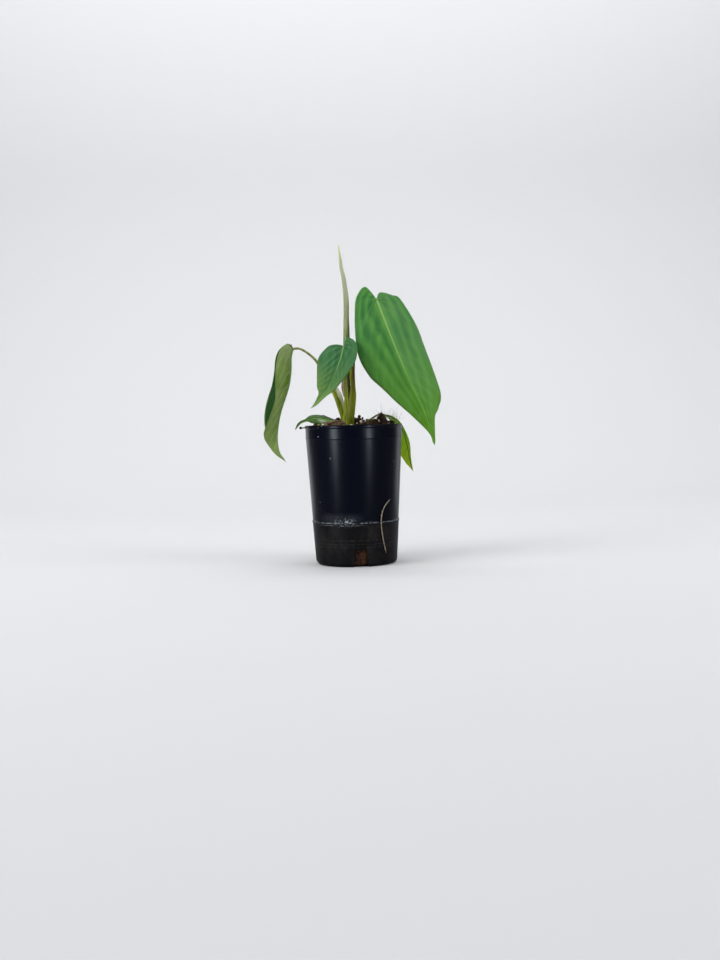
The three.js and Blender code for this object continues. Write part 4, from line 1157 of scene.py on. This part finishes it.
def blade_material(name, look):
    """A satin leaf. The upper face goes from its base colour to a yellower tip, with soft dark bands along
    the lateral veins, long folds painted as dark shade and pale highlight, paler patches and a painted pale
    sheen on the right half. The lower face is pale, with greener clouds of painted glow from light coming
    through, and lighter veins. Midrib and margin are pale lines; the margin's is partly a painted glow of
    light through the thin edge. A thin young blade lets some light through."""
    paint = {part: (*look[part], 1) for part in BLADE_COLOURS}
    material, tree, shader = new_material(name)
    place = add_node(tree, "TexCoord").outputs["Object"]
    labels = ("vein", "across", "along", "midrib", "under")
    vein, across, along, distance, under = (read_value(tree, label) for label in labels)

    # What both faces share: soft clouds, and streaks and waves that follow the lateral veins.
    out = calculate(tree, "ABSOLUTE", across)
    cloud = noise(tree, place, 40, 3)
    wander = calculate(tree, "MULTIPLY_ADD", cloud, 0.9, vein)
    streak = noise(tree, plane(tree, times(tree, wander, 1.7), times(tree, across, 1.4)), 1, 3, 0.45)
    wave = calculate(tree, "COSINE", times(tree, wander, 2 * math.pi))
    pale = ramp(tree, streak, 0.42, 0.72, 0, 0.4)
    inner = ramp(tree, out, 1, 0.6)
    to_tip = ramp(tree, along, 0.25, 1)
    short_of_tip = ramp(tree, along, 0.85, 0.3)

    # Upper face: clouds, a painted sheen on the right half, a dark band along each lateral vein, and three
    # long folds a half, painted as dark shade and pale highlight.
    zone = times(tree, ramp(tree, cloud, 0.42, 0.62, 0, 0.5), short_of_tip)
    on_right = ramp(tree, across, -0.02, 0.45)
    painted_sheen_mask = times(tree, on_right, ramp(tree, cloud, 0.3, 0.65, 0, 0.75), short_of_tip)
    band = times(tree, ramp(tree, wave, -0.1, 1, 0, 0.9), ramp(tree, streak, 0.3, 0.65), inner, 0.28)
    lengthwise = noise(tree, plane(tree, times(tree, across, 3.3), times(tree, along, 0.9)), 1, 1)
    present = times(tree, ramp(tree, lengthwise, 0.3, 0.65, 0, 0.45), inner, short_of_tip)
    # The long folds are painted: dark shade in their hollows and a pale highlight on their crests.
    swung = calculate(tree, "MULTIPLY_ADD", cloud, 0.2, out)
    painted_fold_shading = calculate(tree, "COSINE", times(tree, swung, 6 * math.pi))
    coats = [
        (to_tip, paint["tip"]),
        (pale, paint["patch"]),
        (zone, paint["patch"]),
        (painted_sheen_mask, paint["painted_sheen"]),
        (band, paint["band"]),
        (times(tree, ramp(tree, painted_fold_shading, -0.1, 1), present), paint["band"]),
        (ramp(tree, painted_fold_shading, 0.1, -0.9, 0, 0.35), paint["patch"]),
    ]
    # A whitish spot on one half of one blade: a painted highlight.
    if "lens" in look:
        middle, half = look["lens"]
        lengthways = window(tree, along, middle, half, 0.6 * half)
        coats.append((times(tree, lengthways, window(tree, across, 0.5, 0.3, 0.25), 0.8), PAINTED_HIGHLIGHT_WHITE))
    face = layered(tree, paint["base"], *coats)

    # Lower face: greener clouds and a lighter tip, a painted glow of light coming through, and pale veins,
    # streaks and base.
    back = layered(
        tree, paint["lower"],
        (ramp(tree, cloud, 0.44, 0.6, 0, 0.9), paint["painted_glow"]),
        (times(tree, to_tip, 0.8), paint["painted_glow_tip"]),
        (times(tree, ramp(tree, wave, 0.6, 1, 0, 0.4), inner), paint["rib"]),
        (times(tree, pale, 0.35), paint["rib"]),
        (ramp(tree, along, 0.2, 0.02, 0, 0.75), paint["rib"]),
    )

    # Midrib and margin: the rib's line gets narrower and fainter towards the tip. The margin's pale line is
    # partly its own colour and partly a painted glow of light through the thin edge.
    rib_width = ramp(tree, along, 0, 1, 1.3, 0.35)
    rib = ramp(tree, calculate(tree, "DIVIDE", distance, rib_width), 1.1, 0.6)
    rib = times(tree, rib, ramp(tree, along, 0.05, 0.6, 0.95, look["rib_end"]))
    edge = ramp(tree, out, 0.97, 1, 0, 0.6)
    colour = layered(tree, face, (under, back), (rib, paint["rib"]), (edge, paint["rib"]))

    fine_veins = calculate(tree, "COSINE", times(tree, vein, 16 * math.pi))
    normal = bumps(tree, calculate(tree, "ADD", times(tree, fine_veins, 0.25), streak), 0.25, 0.5)
    roughness = ramp(tree, under, 0, 1, 0.4, 0.6)
    plug(tree, shader, Base_Color=colour, Roughness=roughness, Normal=normal, Specular_IOR_Level=0.12)
    if "lets_light_through" in look:
        plug(tree, shader, Subsurface_Weight=0.5, Subsurface_Scale=2 * MM, Subsurface_Radius=(0.7, 1, 0.15))
    return material


PALE_RIB = (0.22, 0.38, 0.12, 1)


def petiole_material():
    """Petiole and rib: bright olive at the foot, greener above and brownish before the leaf, all with fine
    lengthwise streaks. The rib under the blade is pale."""
    material, tree, shader = new_material("petiole")
    place = add_node(tree, "TexCoord").outputs["Object"]
    along = read_value(tree, "along")
    lengthwise = stretched(tree, place, (1, 1, 0.12))
    foot, height = mottled(tree, lengthwise, 700, (0.140, 0.190, 0.006, 1), (0.36, 0.42, 0.055, 1))
    upper, _ = mottled(tree, place, 500, (0.11, 0.13, 0.03, 1), (0.33, 0.34, 0.14, 1))
    past_middle = ramp(tree, along, 0.45, 0.75)
    on_blade = ramp(tree, along, 0.98, 1.02)
    colour = layered(tree, foot, (past_middle, upper), (on_blade, PALE_RIB))
    normal = bumps(tree, height, 0.35, 0.4)
    plug(tree, shader, Base_Color=colour, Roughness=0.45, Normal=normal, Specular_IOR_Level=0.1)
    return material


# Two petioles carry a thin papery wing, one leaf base a dry purplish nub, and the large leaf a small knob.
WING_THICKNESS = 0.3
WING_RIPPLE = 0.35
WING_RIPPLE_TURN = 9
KNOB_REACH = 1.5
KNOB_RADIUS = 1.1
KNOB_RISE = 0.3
KNOB_ALONG = 1.5
wing_pale = mottled_material(
    "wing_pale", 300, (0.30, 0.34, 0.14, 1), (0.72, 0.74, 0.52, 1), (0.7, 0.7, 0.5, 1), 0.6, 0.2, (1, 1, 0.1)
)
wing_tan = mottled_material(
    "wing_tan", 300, (0.32, 0.23, 0.10, 1), (0.62, 0.50, 0.30, 1), (0.66, 0.56, 0.4, 1), 0.6, 0.2, (1, 1, 0.1)
)
WINGS = {
    # lower and upper height, the way it stands out, its width from the petiole's middle, material
    "leaf_left": (147, 186, (0.94, 0, 0.34), 6.4, wing_pale),
    "leaf_small": (163, 188, (-1, 0, 0), 4.4, wing_tan),
}


def wing_grid(leaf, low, high, way, width, steps=50, across=12):
    """A thin papery wing that a petiole carries between two heights. It stands out along its way by its
    width times a power of the sine of its length's share, ripples a little and thins out to its edge."""
    route = walk(petiole_stations(leaf), np.linspace(0, 1, 400))[0]
    share = np.linspace(0, 1, steps)
    height = low + (high - low) * share
    foot = np.stack([np.interp(height, route[:, 2], route[:, axis]) for axis in range(3)], 1)
    swell = np.sin(math.pi * share)[:, None] ** 0.6
    out = np.linspace(0, 1, across)[None]
    middle = foot[:, None] + (width * swell * out)[..., None] * np.asarray(way)
    middle[..., 1] += WING_RIPPLE * np.sin(WING_RIPPLE_TURN * share)[:, None] * out
    half = (WING_THICKNESS / 2 * swell * np.sqrt(1 - out**4))[..., None] * (0, 1, 0)
    return np.concatenate([middle + half, (middle - half)[:, -2:0:-1]], axis=1)


nub_purple = mottled_material(
    "nub_purple", 500, (0.020, 0.012, 0.012, 1), (0.10, 0.06, 0.06, 1), (0.14, 0.09, 0.08, 1), 0.6, 0.2
)
NUB = ((-60.4, 20, 216.6), (-60.6, 19.9, 218.4), (-61.3, 19.8, 220.2), (-61.2, 19.8, 221.6))
NUB_RADIUS = (1.1, 0.8, 0.5, 0.25)


def nub_grid(steps=12):
    """The nub: a short limb along its points, thinner from one to the next."""
    share = np.linspace(0, 1, steps)
    radius = np.interp(share * (len(NUB) - 1), range(len(NUB)), NUB_RADIUS)
    return tube(smooth_curve(NUB, share), radius, 10)


def knob_grid(leaf):
    """The knob where the petiole passes into the midrib, seen in the leaf's notch: a short limb along the
    midrib whose radius is that of an ellipsoid."""
    share = np.linspace(-0.95, 0.95, 14)
    point, normal, tangent = (array[0] for array in ridge(leaf, np.zeros(1))[:3])
    axis = point + KNOB_RISE * normal + KNOB_REACH * share[:, None] * tangent
    return tube(axis, KNOB_RADIUS * np.sqrt(1 - share**2), 14)


petiole_green = petiole_material()
for name, leaf in LEAVES.items():
    blade, values = blade_grid(leaf)
    limb, limb_along = petiole_grid(leaf)
    # Each form is its grid, its finish and its value of along.
    forms = [
        (blade, blade_material(name, LEAF_LOOKS[name]), values["along"]),
        (limb, petiole_green, limb_along),
    ]
    if name in WINGS:
        *form, finish = WINGS[name]
        forms.append((wing_grid(leaf, *form), finish, 0))
    if name == "leaf_left":
        forms.append((nub_grid(), nub_purple, 0))
    if name == "leaf_large":
        forms.append((knob_grid(leaf), petiole_green, KNOB_ALONG))
    grids = [grid for grid, _, _ in forms]
    materials = list(dict.fromkeys(finish for _, finish, _ in forms))
    finishes = [materials.index(finish) for _, finish, _ in forms]
    plain = [np.zeros(grid.shape[:2]) for grid in grids[1:]]
    values = {label: [array, *plain] for label, array in values.items()}
    values["along"] = [np.broadcast_to(along, grid.shape[:2]) for grid, _, along in forms]
    make_piece(name + "_fine", grids, materials, [name], values, finishes)


# Sheath: the papery leaf that once wrapped the shoot, now open at the front and drying to brown at its tip.
# It is one thin pleated blade that grows from the crown and stands round the foot of the clump.
SHEATH_HEIGHTS = (125.5, 141, 155, 167, 178, 191, 202)
SHEATH_CENTRE_X = (-5, -4.9, -3.45, -2.55, -1.8, -0.9, 0.2)
SHEATH_CENTRE_Y = (3.2, 3.4, 3.9, 4.3, 4.6, 4.9, 5.1)
SHEATH_HALF_X = (5.4, 5.6, 5.65, 5.95, 4.6, 3.5, 2.9)
SHEATH_HALF_Y = (7.5, 7.5, 7.6, 7.4, 6.4, 4.7, 3.9)
SLIT_FROM = (236, 234, 222, 155, 96, 80, 40)
SLIT_TO = (240, 242, 252, 262, 272, 285, 330)
SHEATH_THICKNESS = 0.6
PLEAT_DEPTH = 0.12
PLEAT_COUNT = 26
END_ROUNDING = 1 / 60
SLIT_ROUNDING = 1 / 25
SHEATH_STREAK = (0.42, 0.40, 0.22, 1)
DRY_FROM, DRY_FULL = 158, 190


def profile_value(values, share):
    """A value that runs smoothly through evenly spaced stations."""
    return smooth_curve(values, share, reflected=False)[..., 0]


def sheath_grid(up=90, around=60):
    """The sheath: an oval that goes round the clump from one side of its slit to the other, as rings over
    the outside and back over the inside, both rounded together at the slit, the foot and the tip."""
    k = np.linspace(0, 1, up)[:, None]
    start = np.radians(profile_value(SLIT_TO, k))
    stop = np.radians(profile_value(SLIT_FROM, k)) + 2 * math.pi
    share = np.linspace(0, 1, around)[None]
    angle = start + (stop - start) * share
    taper = rounding(np.minimum(k, 1 - k), END_ROUNDING)
    taper = taper * rounding(np.minimum(share, 1 - share), SLIT_ROUNDING)
    centre = np.stack([profile_value(SHEATH_CENTRE_X, k), profile_value(SHEATH_CENTRE_Y, k)], -1)
    half = np.stack([profile_value(SHEATH_HALF_X, k), profile_value(SHEATH_HALF_Y, k)], -1)
    height = np.broadcast_to(profile_value(SHEATH_HEIGHTS, k), angle.shape)[..., None]
    way = np.stack([np.cos(angle), np.sin(angle)], -1)
    pleat = PLEAT_DEPTH * np.cos(angle * PLEAT_COUNT)
    faces = []
    for side in (1, -1):
        proud = (side * taper - 1) * SHEATH_THICKNESS / 2 + pleat
        faces.append(np.concatenate([centre + (half + proud[..., None]) * way, height], -1))
    outside, inside = faces
    ring = np.concatenate([outside, inside[:, -2:0:-1]], axis=1)
    across = np.broadcast_to(np.concatenate([share, share[:, -2:0:-1]], axis=1), ring.shape[:2])
    return ring, across


def sheath_material():
    """Papery sheath: bright olive at the foot, darker above, dry red-brown at the tip and along its slit,
    with fine upright fibres and one pale streak up its face."""
    material, tree, shader = new_material("sheath")
    across = read_value(tree, "across")
    height = height_of(tree, add_node(tree, "TexCoord").outputs["Object"])
    upright = plane(tree, times(tree, across, 60), times(tree, height, 0.03))
    fresh, relief = mottled(tree, upright, 1.5, (0.180, 0.215, 0.003, 1), (0.50, 0.56, 0.030, 1))
    dry, _ = mottled(tree, upright, 1.8, (0.040, 0.024, 0.002, 1), (0.190, 0.110, 0.016, 1))
    from_middle = calculate(tree, "ABSOLUTE", calculate(tree, "SUBTRACT", across, 0.5))
    by_slit = ramp(tree, from_middle, 0.43, 0.49, 0, 0.35)
    dryness = calculate(tree, "MAXIMUM", ramp(tree, height, DRY_FROM, DRY_FULL), by_slit)
    streak = times(tree, window(tree, across, 0.07, 0.025, 0.02), 0.7)
    colour = layered(tree, fresh, (dryness, dry), (streak, SHEATH_STREAK))
    normal = bumps(tree, relief, 0.6, 0.5)
    plug(tree, shader, Base_Color=colour, Roughness=0.5, Normal=normal, Specular_IOR_Level=0.1)
    return material


sheath, sheath_across = sheath_grid()
make_piece("papery_sheath", [sheath], [sheath_material()], ["cataphyll"],
           values={"across": [sheath_across]})


# New leaf: the youngest leaf, still rolled into a tall pale spear with one free edge winding up it. It is
# soft and satin, and grows out of the sheath.
SPEAR_AXIS = ((-6.1, 6, 125), (-6.1, 5.9, 141), (-4, 6.3, 166), (-4.8, 7.6, 185), (-5.1, 8.2, 203),
              (-4.9, 8.5, 223.5), (-4.7, 9, 243.5), (-4.4, 9, 263.4), (-6.1, 9, 283.4), (-8.3, 9, 295.3),
              (-9.3, 9, 305.3), (-10.3, 9, 315), (-10.8, 9, 318.5))
SPEAR_RADIUS = (2.1, 2.1, 2.1, 2.5, 3.2, 3.6, 3.4, 2.9, 2.8, 2.3, 1.6, 0.4)
LAYER_STEP = 0.16
FREE_EDGE = 0.94
FREE_EDGE_FOOT = 300
FREE_EDGE_WINDING = 120
# The foot's dark green is painted shade, where the sheath closes round the spear.
SPEAR_FOOT_PAINTED_SHADE = (0.025, 0.040, 0.004, 1)
SPEAR_TIP_WHITE = (0.54, 0.57, 0.24, 1)
SPEAR_EDGE_BROWN = (0.13, 0.085, 0.065, 1)


def spear_grid(steps=240, around=64):
    """The rolled leaf: a limb whose radius grows once round by the thickness of a layer and drops back at
    the free edge, which winds a third of a turn from foot to tip."""
    share = np.linspace(0, 1, steps)
    axis, tangent, _ = walk(SPEAR_AXIS, share)
    radius = profile_value(SPEAR_RADIUS, share)
    out = unit(np.array([1.0, 0, 0]) - tangent * tangent[:, :1])
    over = np.cross(tangent, out)
    turn = np.linspace(0, 1, around, endpoint=False)[None]
    layer = np.clip(turn / FREE_EDGE, 0, 1) - np.clip((turn - FREE_EDGE) / (1 - FREE_EDGE), 0, 1)
    swell = 1 - LAYER_STEP * (1 - layer)
    edge_angle = np.radians(FREE_EDGE_FOOT + FREE_EDGE_WINDING * share)[:, None]
    angle = (2 * math.pi * turn + edge_angle)[..., None]
    rings = out[:, None] * np.cos(angle) + over[:, None] * np.sin(angle)
    grid = axis[:, None] + rings * (radius[:, None] * swell)[..., None]
    first = np.repeat(axis[:1], around, 0)[None]
    last = np.repeat(axis[-1:], around, 0)[None]
    roll = np.concatenate([turn, np.broadcast_to(turn, (steps, around)), turn])
    return np.concatenate([first, grid, last]), roll


def spear_material():
    """Rolled new leaf: green, painted dark at the foot as painted shade where the sheath closes round it,
    whitish green above and nearly white at the tip, with fine lengthwise streaks and a purple-brown free
    edge."""
    material, tree, shader = new_material("rolled_leaf")
    place = add_node(tree, "TexCoord").outputs["Object"]
    height = height_of(tree, place)
    lengthwise = stretched(tree, place, (1, 1, 0.1))
    low, relief = mottled(tree, lengthwise, 520, (0.14, 0.19, 0.05, 1), (0.32, 0.38, 0.16, 1))
    high, _ = mottled(tree, lengthwise, 520, (0.33, 0.38, 0.22, 1), (0.50, 0.54, 0.38, 1))
    colour = layered(
        tree, low,
        (ramp(tree, height, 225, 275), high),
        (ramp(tree, height, 205, 190, 0, 0.85), SPEAR_FOOT_PAINTED_SHADE),
        (ramp(tree, height, 296, 312), SPEAR_TIP_WHITE),
        (ramp(tree, read_value(tree, "roll"), 0.80, 0.93, 0, 0.8), SPEAR_EDGE_BROWN),
    )
    normal = bumps(tree, relief, 0.3, 0.4)
    plug(tree, shader, Base_Color=colour, Roughness=0.42, Normal=normal, Specular_IOR_Level=0.25)
    return material


spear, spear_roll = spear_grid()
make_piece("rolled_leaf", [spear], [spear_material()], ["spear"], values={"roll": [spear_roll]})


# Dried root: a thin dead root, woody and tan, that crept down the outside once and now lies along the pot's
# wall.
ROOT_ROUTE = ((-42.4, 64.8), (-50.8, 58.8), (-55.4, 51.2), (-56, 39.5), (-52.6, 25.5), (-47.5, 12.6))
ROOT_RADIUS = 0.62
ROOT_GAP = 0.85
ROOT_KINK = 0.15
ROOT_KINK_SIZE = 2.2
ROOT_END_TAPER = 12
ROOT_END_SHARE = 0.3


def wall_radius(height):
    """The pot's outer radius at a height."""
    share = (height - RIDGE_HEIGHT) / (COLLAR_BOTTOM - RIDGE_HEIGHT)
    above = WALL_FOOT_RADIUS + (WALL_TOP_RADIUS - WALL_FOOT_RADIUS) * share
    below = SKIRT_FOOT_RADIUS + (SKIRT_TOP_RADIUS - SKIRT_FOOT_RADIUS) * height / RIDGE_HEIGHT
    return np.where(share >= 0, above, below)


def root_grid():
    """The root: its route of azimuths and heights laid just off the wall, thicker and thinner by noise and
    tapered to both ends."""
    azimuth, height = np.asarray(ROOT_ROUTE, float).T
    reach = wall_radius(height) + ROOT_RADIUS + ROOT_GAP
    turn = np.radians(azimuth)
    stations = np.stack([reach * np.cos(turn), reach * np.sin(turn), height], 1)
    share = np.linspace(0, 1, 90)
    axis = walk(stations, share)[0]
    uneven = 1 - ROOT_KINK + ROOT_KINK * lattice_noise(axis, ROOT_KINK_SIZE, 21)
    ends = np.clip(np.minimum(share, 1 - share) * ROOT_END_TAPER + ROOT_END_SHARE, 0, 1)
    return tube(axis, ROOT_RADIUS * uneven * ends, 12)


dry_tan = mottled_material(
    "dry_root", 420, (0.15, 0.12, 0.09, 1), (0.34, 0.29, 0.22, 1), (0.44, 0.40, 0.33, 1), 0.85, 0.3
)
make_piece("dry_root", [root_grid()], [dry_tan], ["dried_root"])
